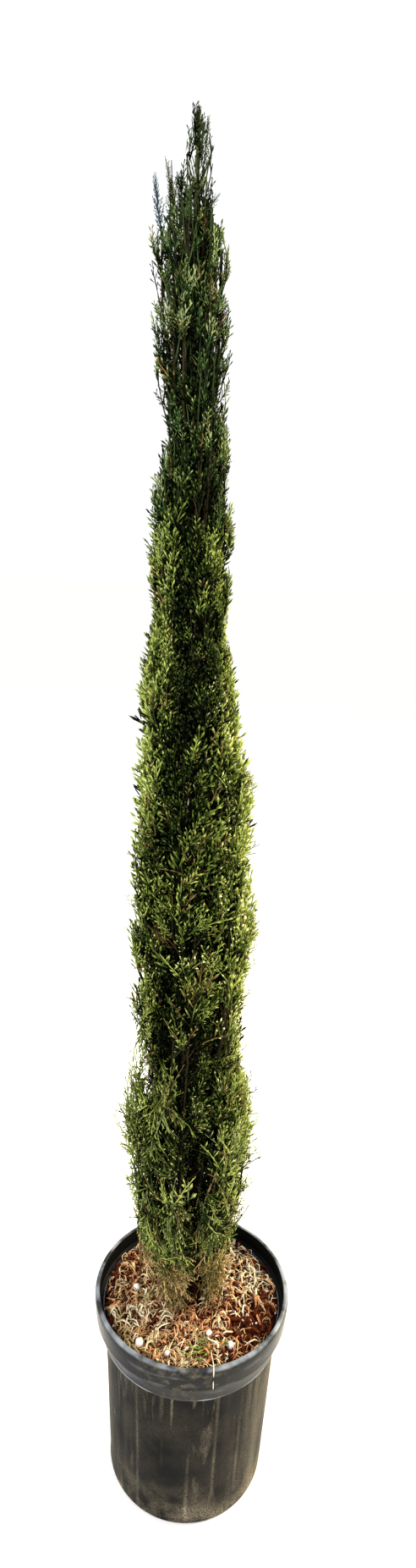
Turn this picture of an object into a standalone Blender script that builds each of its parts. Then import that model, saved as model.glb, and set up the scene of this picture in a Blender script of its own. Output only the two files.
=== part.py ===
"""A young Italian cypress in a black nursery pot, as solids in metres, +Z up.

The pot stands on the origin. The trunk rises from the potting mix and leans a
little to -X. The crown is five columns of upright plumes that turn slowly
round the trunk. Each plume keeps to its own space: a sector round the trunk,
between the two cones that part it from the plumes below and above, inside the
crown's outline.
"""

import math
import random

import bmesh
import bpy
from mathutils import Vector

# Pot
POT_HEIGHT = 0.312
LIP_RADIUS = 0.143
LIP_DEPTH = 0.036
STEP_DEPTH = 0.025
LIP_INNER_RADIUS = 0.1350
BAND_RADIUS = 0.1322
BAND_DEPTH = 0.0270
WALL_TOP_RADIUS = 0.1285
BASE_RADIUS = 0.1165
WALL = 0.0030
FLOOR = 0.0035
FLUTES = 10
FLUTE_TURN = 70.0
FLUTE_DEPTH = 0.0011
POT_STEPS = 50
DRAIN_HOLES = 5
DRAIN_RADIUS = 0.0075
DRAIN_CIRCLE = 0.085

# Potting mix
SOIL_LEVEL = 0.292
SOIL_EDGE_DROP = 0.007
SOIL_FLAT_RADIUS = 0.030

# Trunk
TRUNK_FOOT = (0.0020, 0.0030)
TRUNK_LEAN_X = -0.0500
TRUNK_LEAN_Y = 0.0020
TRUNK_SWAY = 0.0030
TRUNK_TOP = 1.7000
TREE_TOP = 1.8060
FLARE_RADIUS = 0.0200
FLARE_HEIGHT = 0.0450
TRUNK_RADIUS = 0.0122
TRUNK_TIP_RADIUS = 0.0016
TRUNK_SIDES = 9
TRUNK_RINGS = 15

# Crown outline round the trunk: height, reach to -X, reach to +X
OUTLINE = (
    (0.300, 0.052, 0.042),
    (0.400, 0.081, 0.047),
    (0.460, 0.090, 0.070),
    (0.590, 0.105, 0.083),
    (0.695, 0.075, 0.067),
    (0.880, 0.084, 0.081),
    (0.960, 0.085, 0.067),
    (1.080, 0.076, 0.074),
    (1.120, 0.073, 0.056),
    (1.200, 0.067, 0.050),
    (1.270, 0.050, 0.038),
    (1.395, 0.056, 0.048),
    (1.480, 0.036, 0.038),
    (1.640, 0.050, 0.037),
    (1.735, 0.044, 0.024),
    (1.775, 0.012, 0.017),
    (1.806, 0.004, 0.005),
)

# Columns of plumes round the trunk: name, direction in degrees, and the heights
# where each plume's lower cone meets the trunk's axis
COLUMNS = (
    ("left", 178, (0.352, 0.530, 0.850, 1.170, 1.400)),
    ("front_left", -122, (0.352, 0.710, 1.010, 1.290, 1.520)),
    ("front_right", -58, (0.352, 0.580, 0.870, 1.150, 1.430)),
    ("right", 8, (0.352, 0.520, 0.785, 1.000, 1.320)),
    ("back", 90, (0.352, 0.650, 0.950, 1.230, 1.490)),
)
CROWN_TWIST = 58.0
TWIST_FROM = 0.480
LEADER_LEVEL = 1.680
LEADER_SPRAYS = 9
PLUME_SPRAYS = 8
TALL_PLUME = 0.310
CONE_SLOPE = 2.0
FOOT_SLOPE = 0.70
HANGING_SPRAYS = 3
BOUGHS_BELOW = 1.005
BOUGH_SHARE = 0.20
CORE_SHARES = ((0.50, 0.56), (1.00, 0.54), (1.25, 0.46), (1.33, 0.36))
CORES_BELOW = 1.350

# Skirt of hanging sprays under the crown: directions and sprays
SKIRT_DIRECTIONS = (-121, -60, 95)
SKIRT_SPRAYS = 6
SKIRT_WIDTH = 62

# Limbs and sprays
BOUGH_RADIUS = 0.0042
BOUGH_TIP_RADIUS = 0.0026
STEM_RADIUS = 0.0026
STEM_TIP_RADIUS = 0.0012
TWIG_RADIUS = 0.0015
TWIG_TIP_RADIUS = 0.0008
SPRAY_LENGTH = 0.125
SPRAY_WIDTH = 0.0215
SPRAY_THICKNESS = 0.0034
SPRAY_SHORTEST = 0.28
SLIM_BELOW = 0.058
TIP_SPACING = 0.050
ROOT_SHARE = 0.70
CORE_FOOT = 0.03
CORE_FOOT_AT_TRUNK = 0.24
CORE_TOP = 0.96
CROSSING = 0.009
TIP_ROOM = 0.050
STEM_REACH = 0.66
TRIES = 18
GAP = 0.0003
SPACE_MARGIN = 0.0012
LIMB_CLEARANCE = 0.0012

# Half outline of one spray, root to tip: sideways, along
SPRAY_TEETH = (
    (0.12, 0.00),
    (1.00, 0.40),
    (0.46, 0.45),
    (0.80, 0.76),
)
SPRAY_RIDGE = 0.14

COLOURS = {
    "pot": ("#1c1e22", 0.38),
    "mix": ("#6b4530", 0.95),
    "bark": ("#6a4a3a", 0.90),
    "foliage": ("#4c6238", 0.80),
}


def linear(value):
    """One sRGB channel from 0 to 1 as linear light."""
    return value / 12.92 if value <= 0.04045 else ((value + 0.055) / 1.055) ** 2.4


def material(kind):
    colour, roughness = COLOURS[kind]
    found = bpy.data.materials.get(kind)
    if found:
        return found
    made = bpy.data.materials.new(kind)
    made.use_nodes = True
    shader = made.node_tree.nodes["Principled BSDF"]
    channels = [linear(int(colour[i : i + 2], 16) / 255) for i in (1, 3, 5)]
    shader.inputs["Base Color"].default_value = (*channels, 1.0)
    shader.inputs["Roughness"].default_value = roughness
    shader.inputs["Metallic"].default_value = 0.0
    return made


def clear_scene():
    for item in list(bpy.data.objects):
        bpy.data.objects.remove(item, do_unlink=True)


def collection(name):
    made = bpy.data.collections.new(name)
    bpy.context.scene.collection.children.link(made)
    return made


def add_object(name, bm, group, kind):
    """A named object from a bmesh, which it frees."""
    bmesh.ops.recalc_face_normals(bm, faces=bm.faces)
    mesh = bpy.data.meshes.new(name)
    bm.to_mesh(mesh)
    bm.free()
    made = bpy.data.objects.new(name, mesh)
    made.data.materials.append(material(kind))
    group.objects.link(made)
    return made


def as_cutter(item):
    item.hide_render = True
    item.display_type = "WIRE"


def apply_boolean(item, operation, cutter=None, group=None, solver="EXACT"):
    """Apply one Boolean and leave its result on the object."""
    modifier = item.modifiers.new("join", "BOOLEAN")
    modifier.operation = operation
    modifier.solver = solver
    if group:
        modifier.operand_type = "COLLECTION"
        modifier.collection = group
    else:
        modifier.object = cutter
    bpy.context.view_layer.update()
    graph = bpy.context.evaluated_depsgraph_get()
    mesh = bpy.data.meshes.new_from_object(item.evaluated_get(graph))
    item.modifiers.remove(modifier)
    item.data = mesh


def shell_volume(faces):
    total = 0.0
    for face in faces:
        corners = [v.co for v in face.verts]
        for i in range(1, len(corners) - 1):
            total += corners[0].dot(corners[i].cross(corners[i + 1])) / 6
    return total


def shells(bm):
    """The faces of each closed shell."""
    left = set(bm.faces)
    found = []
    while left:
        stack = [left.pop()]
        shell = []
        while stack:
            face = stack.pop()
            shell.append(face)
            for edge in face.edges:
                for other in edge.link_faces:
                    if other in left:
                        left.discard(other)
                        stack.append(other)
        found.append(shell)
    return found


def keep_main_shell(item):
    """Drop loose scraps and fill hollows that joining has sealed."""
    closed = False
    ways = [(method, dist) for method in ("BEAUTY", "EAR_CLIP") for dist in (1e-5, 1e-7)]
    for method, distance in ways:
        bm = bmesh.new()
        bm.from_mesh(item.data)
        bmesh.ops.remove_doubles(bm, verts=bm.verts, dist=distance)
        bmesh.ops.dissolve_degenerate(bm, edges=bm.edges, dist=distance)
        bmesh.ops.triangulate(bm, faces=bm.faces, ngon_method=method)
        found = sorted(shells(bm), key=shell_volume)
        spare = [face for shell in found[:-1] for face in shell]
        bmesh.ops.delete(bm, geom=spare, context="FACES")
        closed = all(len(edge.link_faces) == 2 for edge in bm.edges)
        if closed:
            bm.to_mesh(item.data)
        bm.free()
        if closed:
            break
    return closed


def lookup(table, z, column):
    """A table's value at a height, with straight runs between its rows."""
    if z <= table[0][0]:
        return table[0][column]
    for low, high in zip(table, table[1:]):
        if z <= high[0]:
            share = (z - low[0]) / (high[0] - low[0])
            return low[column] + share * (high[column] - low[column])
    return table[-1][column]


def trunk_axis(z):
    share = (z - SOIL_LEVEL) / (TREE_TOP - SOIL_LEVEL)
    sway = TRUNK_SWAY * math.sin(2.2 * math.pi * share)
    x = TRUNK_FOOT[0] + TRUNK_LEAN_X * share + sway
    y = TRUNK_FOOT[1] + TRUNK_LEAN_Y * share - sway * 0.5
    return Vector((x, y, z))


def trunk_radius(z):
    up = z - SOIL_LEVEL
    share = min(max(up / (TRUNK_TOP - SOIL_LEVEL), 0.0), 1.0)
    taper = TRUNK_RADIUS + (TRUNK_TIP_RADIUS - TRUNK_RADIUS) * share**0.85
    flare = (FLARE_RADIUS - TRUNK_RADIUS) * math.exp(-2.6 * up / FLARE_HEIGHT)
    return taper + flare


def outline(z, angle):
    """The crown's reach from the trunk's axis in a direction."""
    left = lookup(OUTLINE, z, 1)
    right = lookup(OUTLINE, z, 2)
    return (left + right) / 2 + (right - left) / 2 * math.cos(angle)


def round_trunk(rho, angle, z):
    axis = trunk_axis(z)
    return axis + Vector((rho * math.cos(angle), rho * math.sin(angle), 0))


def twist(z):
    """How far the columns have turned round the trunk at a height."""
    return math.radians(CROWN_TWIST) * max(0.0, z - TWIST_FROM)


def slope_at(level):
    """The slope of the cone that meets the trunk's axis at a level."""
    return FOOT_SLOPE if level == COLUMNS[0][2][0] else CONE_SLOPE


def make_space(direction, directions, low, high):
    """A sector round the trunk between two cones, as a small record."""
    others = [(other - direction + 180) % 360 - 180 for other in directions]
    ahead = min([d for d in others if d > 0] or [360])
    behind = max([d for d in others if d < 0] or [-360])
    return {
        "angle": math.radians(direction),
        "ahead": math.radians(ahead / 2),
        "behind": math.radians(-behind / 2),
        "low": low,
        "high": high,
        "low_slope": slope_at(low),
        "high_slope": slope_at(high),
    }


def compass(space, z):
    """The directions outward from the trunk and sideways in a space."""
    angle = space["angle"] + twist(z)
    outward = Vector((math.cos(angle), math.sin(angle), 0))
    return outward, Vector((-outward.y, outward.x, 0))


def reach_of(space, z):
    """The outline's reach along the middle of a space."""
    return outline(z, space["angle"] + twist(z))


def in_space(point, space, margin=SPACE_MARGIN):
    axis = trunk_axis(point.z)
    dx, dy = point.x - axis.x, point.y - axis.y
    rho = math.hypot(dx, dy)
    angle = math.atan2(dy, dx)
    if point.z < TRUNK_TOP and rho < trunk_radius(point.z) + LIMB_CLEARANCE:
        return False
    if rho > outline(point.z, angle):
        return False
    for end, side in (("low", 1), ("high", -1)):
        slope = space[end + "_slope"]
        rise = margin * math.hypot(1, slope)
        level = space[end]
        if level is not None and side * (point.z - level - slope * rho) < rise:
            return False
    if point.z > TREE_TOP or point.z < SOIL_LEVEL + 0.004:
        return False
    middle = space["angle"] + twist(point.z)
    turn = (angle - middle + math.pi) % (2 * math.pi) - math.pi
    side = space["ahead"] if turn > 0 else space["behind"]
    room = side - abs(turn)
    return room > 0 and (room > math.pi / 2 or rho * math.sin(room) > margin)


def frame_along(direction):
    """Two directions square to the given one."""
    forward = direction.normalized()
    helper = Vector((0, 0, 1)) if abs(forward.z) < 0.9 else Vector((1, 0, 0))
    side = forward.cross(helper).normalized()
    return side, forward.cross(side).normalized()


def extruded(bm, face, inside):
    """The new face of an extruded one, which goes if it is now inside."""
    made = bmesh.ops.extrude_face_region(bm, geom=[face])
    if inside:
        bmesh.ops.delete(bm, geom=[face], context="FACES_ONLY")
    return next(g for g in made["geom"] if isinstance(g, bmesh.types.BMFace))


def limb_mesh(points, radii, sides, turn=0.0):
    """A tapering limb: one capped ring extruded from point to point."""
    bm = bmesh.new()
    bmesh.ops.create_circle(bm, cap_ends=True, segments=sides, radius=1.0)
    face = bm.faces[:][0]
    ring = [loop.vert for loop in face.loops]
    side = None
    for i, point in enumerate(points):
        before = points[max(i - 1, 0)]
        after = points[min(i + 1, len(points) - 1)]
        forward = (after - before).normalized()
        if side is None:
            side, up = frame_along(forward)
        else:
            side = (side - forward * side.dot(forward)).normalized()
            up = forward.cross(side)
            face = extruded(bm, face, i > 1)
            ring = [loop.vert for loop in face.loops]
        for k, vert in enumerate(ring):
            a = turn + 2 * math.pi * k / sides
            offset = side * math.cos(a) + up * math.sin(a)
            vert.co = point + offset * radii[i]
    return bm


def upright_limb_mesh(points, radii, sides):
    """A limb whose rings stay level, for the trunk and its flat foot."""
    bm = bmesh.new()
    bmesh.ops.create_circle(bm, cap_ends=True, segments=sides, radius=1.0)
    face = bm.faces[:][0]
    ring = [loop.vert for loop in face.loops]
    for i, point in enumerate(points):
        if i:
            face = extruded(bm, face, i > 1)
            ring = [loop.vert for loop in face.loops]
        for k, vert in enumerate(ring):
            a = 2 * math.pi * k / sides
            vert.co = point + Vector((math.cos(a), math.sin(a), 0)) * radii[i]
    return bm


def trunk_stations():
    heights = []
    for i in range(TRUNK_RINGS):
        share = (i / (TRUNK_RINGS - 1)) ** 1.5
        heights.append(SOIL_LEVEL + GAP + share * (TRUNK_TOP - SOIL_LEVEL - GAP))
    return heights


def make_trunk(name, group, extra=0.0):
    heights = trunk_stations()
    if extra:
        heights[0] -= extra
    points = [trunk_axis(z) for z in heights]
    radii = [trunk_radius(z) + extra for z in heights]
    return add_object(name, upright_limb_mesh(points, radii, TRUNK_SIDES), group, "bark")


def wall_radius(z):
    """The pot wall's outer radius under the band."""
    return BASE_RADIUS + (WALL_TOP_RADIUS - BASE_RADIUS) * z / (POT_HEIGHT - STEP_DEPTH)


def inner_radius(z):
    """The pot's inner radius at a height."""
    top = POT_HEIGHT - STEP_DEPTH
    if z >= top:
        return LIP_INNER_RADIUS
    low = BASE_RADIUS - WALL - FLUTE_DEPTH
    return low + (LIP_INNER_RADIUS - 0.006 - low) * (z / top)


def turned(name, profile, group, kind, steps):
    """A profile in the XZ plane turned about Z by a Screw modifier."""
    bm = bmesh.new()
    verts = [bm.verts.new((r, 0.0, z)) for r, z in profile]
    for first, second in zip(verts, verts[1:]):
        bm.edges.new((first, second))
    mesh = bpy.data.meshes.new(name)
    bm.to_mesh(mesh)
    bm.free()
    item = bpy.data.objects.new(name, mesh)
    group.objects.link(item)
    screw = item.modifiers.new("turn", "SCREW")
    screw.steps = screw.render_steps = steps
    screw.use_merge_vertices = True
    screw.merge_threshold = 0.00001
    bpy.context.view_layer.update()
    graph = bpy.context.evaluated_depsgraph_get()
    solid = bpy.data.meshes.new_from_object(item.evaluated_get(graph))
    item.modifiers.remove(screw)
    item.data = solid
    item.data.materials.clear()
    item.data.materials.append(material(kind))
    return item


def pot_profile():
    top = POT_HEIGHT
    under_lip = top - LIP_DEPTH
    under_band = under_lip - BAND_DEPTH
    step = top - STEP_DEPTH
    profile = [
        (LIP_INNER_RADIUS, top - 0.0030),
        (LIP_INNER_RADIUS + 0.0018, top - 0.0004),
        (LIP_RADIUS - 0.0040, top),
        (LIP_RADIUS - 0.0012, top - 0.0012),
        (LIP_RADIUS, top - 0.0045),
        (LIP_RADIUS - 0.0020, under_lip),
        (BAND_RADIUS + 0.0006, under_lip - 0.0004),
        (BAND_RADIUS, under_band + 0.0020),
        (BAND_RADIUS - 0.0012, under_band),
        (wall_radius(under_band), under_band - 0.0010),
    ]
    profile.append((wall_radius(under_band / 2), under_band / 2))
    profile += [
        (wall_radius(0.012), 0.012),
        (BASE_RADIUS - 0.0012, 0.0030),
        (BASE_RADIUS - 0.0042, 0.0),
        (0.0, 0.0),
        (0.0, FLOOR),
        (inner_radius(FLOOR), FLOOR),
        (inner_radius(step - 0.001), step - 0.001),
        (LIP_INNER_RADIUS, step + 0.003),
        (LIP_INNER_RADIUS, top - 0.0030),
    ]
    return profile


def flute_wall(item):
    """Shallow upright flutes round the wall under the band."""
    top = POT_HEIGHT - LIP_DEPTH - BAND_DEPTH
    for vert in item.data.vertices:
        rho = math.hypot(vert.co.x, vert.co.y)
        outside = rho > wall_radius(vert.co.z) - 0.0004
        if outside and 0.010 < vert.co.z < top - 0.002:
            angle = math.atan2(vert.co.y, vert.co.x)
            wave = math.cos(FLUTES * angle + math.radians(FLUTE_TURN))
            sink = FLUTE_DEPTH * (0.5 - 0.5 * wave)
            vert.co.x *= 1 - sink / rho
            vert.co.y *= 1 - sink / rho


def make_pot(group, cutters):
    pot = turned("nursery_pot", pot_profile(), group, "pot", POT_STEPS)
    flute_wall(pot)
    for i in range(DRAIN_HOLES):
        angle = 2 * math.pi * (i + 0.5) / DRAIN_HOLES
        bm = bmesh.new()
        bmesh.ops.create_cone(
            bm, cap_ends=True, segments=8, radius1=DRAIN_RADIUS, radius2=DRAIN_RADIUS, depth=0.02
        )
        hole = add_object(f"drain_cutter_{i + 1}", bm, cutters, "pot")
        hole.location = (DRAIN_CIRCLE * math.cos(angle), DRAIN_CIRCLE * math.sin(angle), 0)
        as_cutter(hole)
        bpy.context.view_layer.update()
        apply_boolean(pot, "DIFFERENCE", cutter=hole)
    pot.data.set_sharp_from_angle(angle=math.radians(35))
    return pot


def make_soil(group):
    """The potting mix: fills the pot, flat under the trunk, lower at the wall."""
    edge = SOIL_LEVEL - SOIL_EDGE_DROP
    base = FLOOR + GAP
    profile = [
        (0.0, SOIL_LEVEL),
        (SOIL_FLAT_RADIUS, SOIL_LEVEL),
        (inner_radius(edge) - 0.010, edge + 0.002),
        (inner_radius(edge) - GAP * 1.5, edge),
        (inner_radius(base) - GAP * 1.5, base),
        (0.0, base),
    ]
    assert edge < POT_HEIGHT - STEP_DEPTH
    return turned("potting_mix", profile, group, "mix", POT_STEPS)


def plume_point(space, reach, start, end, share):
    """A point on a plume's stem, which leaves the trunk and turns upright."""
    rho = reach * (1 - (1 - share) ** 1.7)
    z = start + (end - start) * share
    return round_trunk(rho, space["angle"] + twist(z), z)


def plume_path(space):
    """Where a plume's stem runs: its reach, and the heights of its ends."""
    start = space["low"] + 0.018
    reach = 0.040
    for _ in range(4):
        end = space["high"] + space["high_slope"] * reach - TIP_ROOM
        reach = STEM_REACH * reach_of(space, end)
    return reach, start, end


def spray_outline(root, direction, facing, size, width, lean, bend):
    """A spray's toothed outline and its two ridge points."""
    length = SPRAY_LENGTH * size
    side = facing.cross(direction).normalized()
    facing = direction.cross(side).normalized()

    def place(across, along, out=0.0):
        curve = bend * length * along * along
        sideways = side * (across * width + lean * length * along * along)
        return root + direction * (along * length) + sideways + facing * (out + curve)

    right = [place(x, y) for x, y in SPRAY_TEETH]
    left = [place(-x, y) for x, y in reversed(SPRAY_TEETH)]
    ridge = [place(0.0, SPRAY_RIDGE, out) for out in (-SPRAY_THICKNESS / 2, SPRAY_THICKNESS / 2)]
    return [*right, place(0.0, 1.0), *left], ridge


def spray_mesh(rim_points, ridge):
    """A toothed blade: a flat cone primitive drawn out to its outline."""
    bm = bmesh.new()
    bmesh.ops.create_cone(
        bm,
        cap_ends=True,
        cap_tris=True,
        segments=len(rim_points),
        radius1=1.0,
        radius2=0.0,
        depth=1.0,
    )
    bmesh.ops.remove_doubles(bm, verts=bm.verts, dist=0.0001)
    rim = [v for v in bm.verts if v.co.xy.length > 0.5]
    rim.sort(key=lambda v: math.atan2(v.co.y, v.co.x))
    hubs = [v for v in bm.verts if v.co.xy.length <= 0.5]
    hubs.sort(key=lambda v: v.co.z)
    for vert, point in zip(rim, rim_points):
        vert.co = point
    for vert, point in zip(hubs, ridge):
        vert.co = point
    return bm


def distance_to_path(point, path):
    nearest = 1.0
    for first, second in zip(path, path[1:]):
        along = second - first
        share = max(0.0, min(1.0, (point - first).dot(along) / along.length_squared))
        nearest = min(nearest, (first + along * share - point).length)
    return nearest


def fitting_spray(root, direction, facing, space, limbs, rng):
    """The longest spray from this root that keeps to the space, or none."""
    lean = rng.uniform(-0.10, 0.10)
    bend = rng.uniform(-0.12, 0.12)
    slim = min(1.0, max(0.4, reach_of(space, root.z + 0.03) / SLIM_BELOW))
    size = 1.0
    while size >= SPRAY_SHORTEST:
        width = SPRAY_WIDTH * slim * (0.45 + 0.55 * size)
        rim, ridge = spray_outline(root, direction, facing, size, width, lean, bend)
        middles = [(a + b) / 2 for a, b in zip(rim, rim[1:])]
        points = [p for p in [*rim, *middles] if (p - root).length > 0.006]
        free = all(in_space(p, space) for p in points)
        if free and limbs:
            room = BOUGH_RADIUS + LIMB_CLEARANCE
            free = all(distance_to_path(p, limbs) > room for p in points)
        if free:
            return size, rim, ridge
        size -= 0.08
    return None


def freedom(rim, others):
    """How free a spray's tip is of the others, less what it would cross."""
    tip = rim[len(SPRAY_TEETH)]
    nearest = TIP_SPACING
    crossed = 0
    for other in others:
        nearest = min(nearest, (tip - other[len(SPRAY_TEETH)]).length)
        for point in rim[1:-1]:
            crossed += any((point - spot).length < CROSSING for spot in other[1:-1])
    return nearest / TIP_SPACING - 0.12 * crossed


def core_reach(path, space, run, share):
    """A core's half sizes outward and sideways at a share of the stem."""
    middle = path_at(path, run)
    rho = (middle - trunk_axis(middle.z)).to_2d().length
    room = reach_of(space, middle.z) - rho
    half = rho * math.sin(min(space["ahead"], space["behind"], math.pi / 2))
    foot = space["core_foot"]
    place = 2 * (run - foot) / (CORE_TOP - foot) - 1
    profile = math.sqrt(max(0.0, 1 - place * place))
    return middle, share * room * profile, share * 1.05 * half * profile


def core_mesh(path, share, space):
    """A slim faceted core along the middle of a plume's stem."""
    bm = bmesh.new()
    bmesh.ops.create_uvsphere(bm, u_segments=5, v_segments=4, radius=1.0)
    for vert in bm.verts:
        run = mixed(space["core_foot"], CORE_TOP, (vert.co.z + 1) / 2)
        middle, out, aside = core_reach(path, space, run, share)
        outward, sideways = compass(space, middle.z)
        flat = vert.co.to_2d()
        flat = flat.normalized() if flat.length > 0.001 else flat
        vert.co = middle + outward * (flat.x * out) + sideways * (flat.y * aside)
    for vert in bm.verts:
        for _ in range(30):
            if in_space(vert.co, space, SPACE_MARGIN * 1.5):
                break
            near = min(path, key=lambda p: abs(p.z - vert.co.z))
            vert.co = vert.co.lerp(Vector((near.x, near.y, vert.co.z)), 0.10)
    return bm


def path_at(path, share):
    """A point at a share of the path's points."""
    place = max(0.0, min(1.0, share)) * (len(path) - 1)
    i = min(int(place), len(path) - 2)
    return path[i].lerp(path[i + 1], place - i)


def mixed(low, high, share):
    return low + (high - low) * share


def try_spray(path, space, limbs, share, core_share, hang, rng):
    """One way for a spray to grow at a share of the stem, or of its core."""
    outward, sideways = compass(space, path_at(path, share).z)
    turn = rng.uniform(-math.pi, math.pi)
    spread = rng.uniform(0.08, 0.95) * mixed(1.0, 0.6, share)
    root = path_at(path, share)
    forward = (path_at(path, share + 0.06) - path_at(path, share - 0.06)).normalized()
    aside = outward * math.cos(turn) + sideways * math.sin(turn)
    if core_share:
        _, out, across = core_reach(path, space, share, core_share * ROOT_SHARE)
        root = root + outward * (out * math.cos(turn)) + sideways * (across * math.sin(turn))
    lift = Vector((0, 0, -1)) if hang else forward
    direction = (lift + aside * math.tan(spread)).normalized()
    facing = outward + sideways * rng.uniform(-0.7, 0.7) + aside * 0.2
    length = rng.choice((0.0, 0.0, 0.010, 0.018)) * (1 - 0.6 * share)
    start = root + (direction + aside * 0.6).normalized() * length
    fit = fitting_spray(start - direction * 0.0010, direction, facing, space, limbs, rng)
    if fit is None:
        return None
    size, rim, ridge = fit
    return size, rim, ridge, root, start, length, direction


def plume_pieces(path, space, limbs, sprays, core_share, rng, hanging=0):
    """Every piece of one plume: its stem, core, side twigs and sprays."""
    count = len(path)
    radii = [mixed(STEM_RADIUS, STEM_TIP_RADIUS, i / (count - 1)) for i in range(count)]
    pieces = [limb_mesh(path, radii, 3)]
    if core_share:
        pieces.append(core_mesh(path, core_share, space))
    rims = []
    for i in range(sprays):
        best = None
        for _ in range(TRIES):
            share = 0.03 + 0.95 * (i + rng.random()) / sprays
            hang = i < hanging
            found = try_spray(path, space, limbs, share, core_share, hang, rng)
            if found is None:
                continue
            tip = found[1][len(SPRAY_TEETH)]
            axis = trunk_axis(tip.z)
            reach = (tip - axis).to_2d().length / reach_of(space, tip.z)
            score = 0.8 * found[0] + freedom(found[1], rims) + 1.6 * reach
            if best is None or score > best[0]:
                best = (score, found)
        if best is None:
            continue
        size, rim, ridge, root, start, length, direction = best[1]
        rims.append(rim)
        pieces.append(spray_mesh(rim, ridge))
        if length > 0.002:
            ends = [root, start + direction * 0.002]
            pieces.append(limb_mesh(ends, [TWIG_RADIUS, TWIG_TIP_RADIUS], 3, size))
    return pieces


def try_fuse(name, pieces, group, solver):
    """One union of a plume's pieces, or none if it isn't one closed solid."""
    loose = collection(f"{name}_pieces")
    made = add_object(name, pieces[0].copy(), group, "foliage")
    for i, bm in enumerate(pieces[1:]):
        add_object(f"{name}_piece_{i}", bm.copy(), loose, "foliage")
    apply_boolean(made, "UNION", group=loose, solver=solver)
    for item in list(loose.objects):
        bpy.data.objects.remove(item, do_unlink=True)
    bpy.data.collections.remove(loose)
    if keep_main_shell(made) and len(made.data.polygons) > 60:
        return made
    bpy.data.objects.remove(made, do_unlink=True)
    return None


def fuse(name, pieces, group):
    """Join a plume's pieces, with a spray fewer each time that it fails."""
    made = None
    for _ in range(2):
        for solver in ("EXACT", "MANIFOLD"):
            made = made or try_fuse(name, pieces, group, solver)
        if made:
            break
        pieces.pop().free()
    for bm in pieces:
        bm.free()
    return made


def grow(name, group, seed, *plan, extra=None, **options):
    """Grow a plume by its seed, and by the next ones if it doesn't join."""
    for attempt in range(9):
        rng = random.Random(seed + 1000 * attempt)
        pieces = plume_pieces(*plan, rng, **options)
        if extra:
            pieces.insert(1, limb_mesh(*extra))
        made = fuse(name, pieces, group)
        if made:
            made.data.materials.clear()
            made.data.materials.append(material("foliage"))
            return made
    raise RuntimeError(f"{name} did not join")


def cut_clear(item, cutter):
    apply_boolean(item, "DIFFERENCE", cutter=cutter)
    keep_main_shell(item)


def make_bough(name, path, group, cutter):
    count = len(path)
    radii = [mixed(BOUGH_RADIUS, BOUGH_TIP_RADIUS, i / (count - 1)) for i in range(count)]
    made = add_object(name, limb_mesh(path, radii, 6), group, "bark")
    cut_clear(made, cutter)
    return made


def make_bough_under(name, space, run, stem, group, cutter):
    """The bough that carries a plume, up to 0.3 mm below its stem."""
    points = [plume_point(space, *run, BOUGH_SHARE * k / 4) for k in range(5)]
    ahead = (stem[1] - stem[0]).normalized()
    points[-1] = stem[0] - ahead * GAP
    points[-2] = stem[0] - ahead * 0.012
    make_bough(name, points, group, cutter)
    return points


def make_plume(column, number, seed, group, cutter):
    """One plume of a column, with the bough under it if it is a low one."""
    name, direction, levels = column
    low = levels[number]
    high = levels[number + 1] if number + 1 < len(levels) else LEADER_LEVEL
    space = make_space(direction, [other[1] for other in COLUMNS], low, high)
    run = plume_path(space)
    has_bough = low < BOUGHS_BELOW
    space["core_foot"] = CORE_FOOT if has_bough else CORE_FOOT_AT_TRUNK
    first = BOUGH_SHARE if has_bough else 0.0
    stem = [plume_point(space, *run, mixed(first, 1.0, k / 5)) for k in range(6)]
    limbs = []
    if has_bough:
        limbs = make_bough_under(f"{name}_bough_{number + 1}", space, run, stem, group, cutter)
    core_share = lookup(CORE_SHARES, low, 1) if low < CORES_BELOW else 0.0
    sprays = round(PLUME_SPRAYS * max(1.0, (high - low) / TALL_PLUME))
    hanging = HANGING_SPRAYS if number == 0 else 0
    plan = (stem, space, limbs, sprays + hanging, core_share)
    made = grow(f"{name}_plume_{number + 1}", group, seed, *plan, hanging=hanging)
    if not has_bough:
        cut_clear(made, cutter)


def make_leader(group):
    """The leader: twigs and sprays on from the trunk's tip."""
    space = make_space(0, (0,), LEADER_LEVEL - 0.002, None)
    heights = [TRUNK_TOP + GAP + (TREE_TOP - 0.012 - TRUNK_TOP) * k / 5 for k in range(6)]
    stem = [trunk_axis(z) for z in heights]
    space = dict(space, angle=math.pi)
    tip = ([stem[-1] - Vector((0, 0, 0.01)), trunk_axis(TREE_TOP)], [0.0012, 0.0006], 5)
    grow("leader_plume", group, 991, stem, space, [], LEADER_SPRAYS, 0.0, extra=tip)


def make_skirt(group, cutter):
    """Low shoots under the crown, whose sprays hang down to the mix."""
    high = COLUMNS[0][2][0]
    for i, direction in enumerate(SKIRT_DIRECTIONS):
        space = make_space(direction, (direction,), None, high)
        space["ahead"] = space["behind"] = math.radians(SKIRT_WIDTH / 2)
        stem = []
        for k in range(6):
            share = k / 5
            rho = 0.046 * share
            z = SOIL_LEVEL + 0.018 + 0.058 * share**0.8
            stem.append(round_trunk(rho, space["angle"], z))
        plan = (stem, space, [], SKIRT_SPRAYS, 0.0)
        made = grow(f"skirt_plume_{i + 1}", group, 500 + i, *plan, hanging=SKIRT_SPRAYS)
        cut_clear(made, cutter)


def main():
    clear_scene()
    group = collection("potted_italian_cypress")
    cutters = collection("cutters")
    make_pot(group, cutters)
    make_soil(group)
    make_trunk("trunk", group)
    cutter = make_trunk("trunk_cutter", cutters, extra=GAP)
    as_cutter(cutter)
    for index, column in enumerate(COLUMNS):
        for number in range(len(column[2])):
            make_plume(column, number, 100 * index + number + 7, group, cutter)
    make_leader(group)
    make_skirt(group, cutter)


main()
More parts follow.
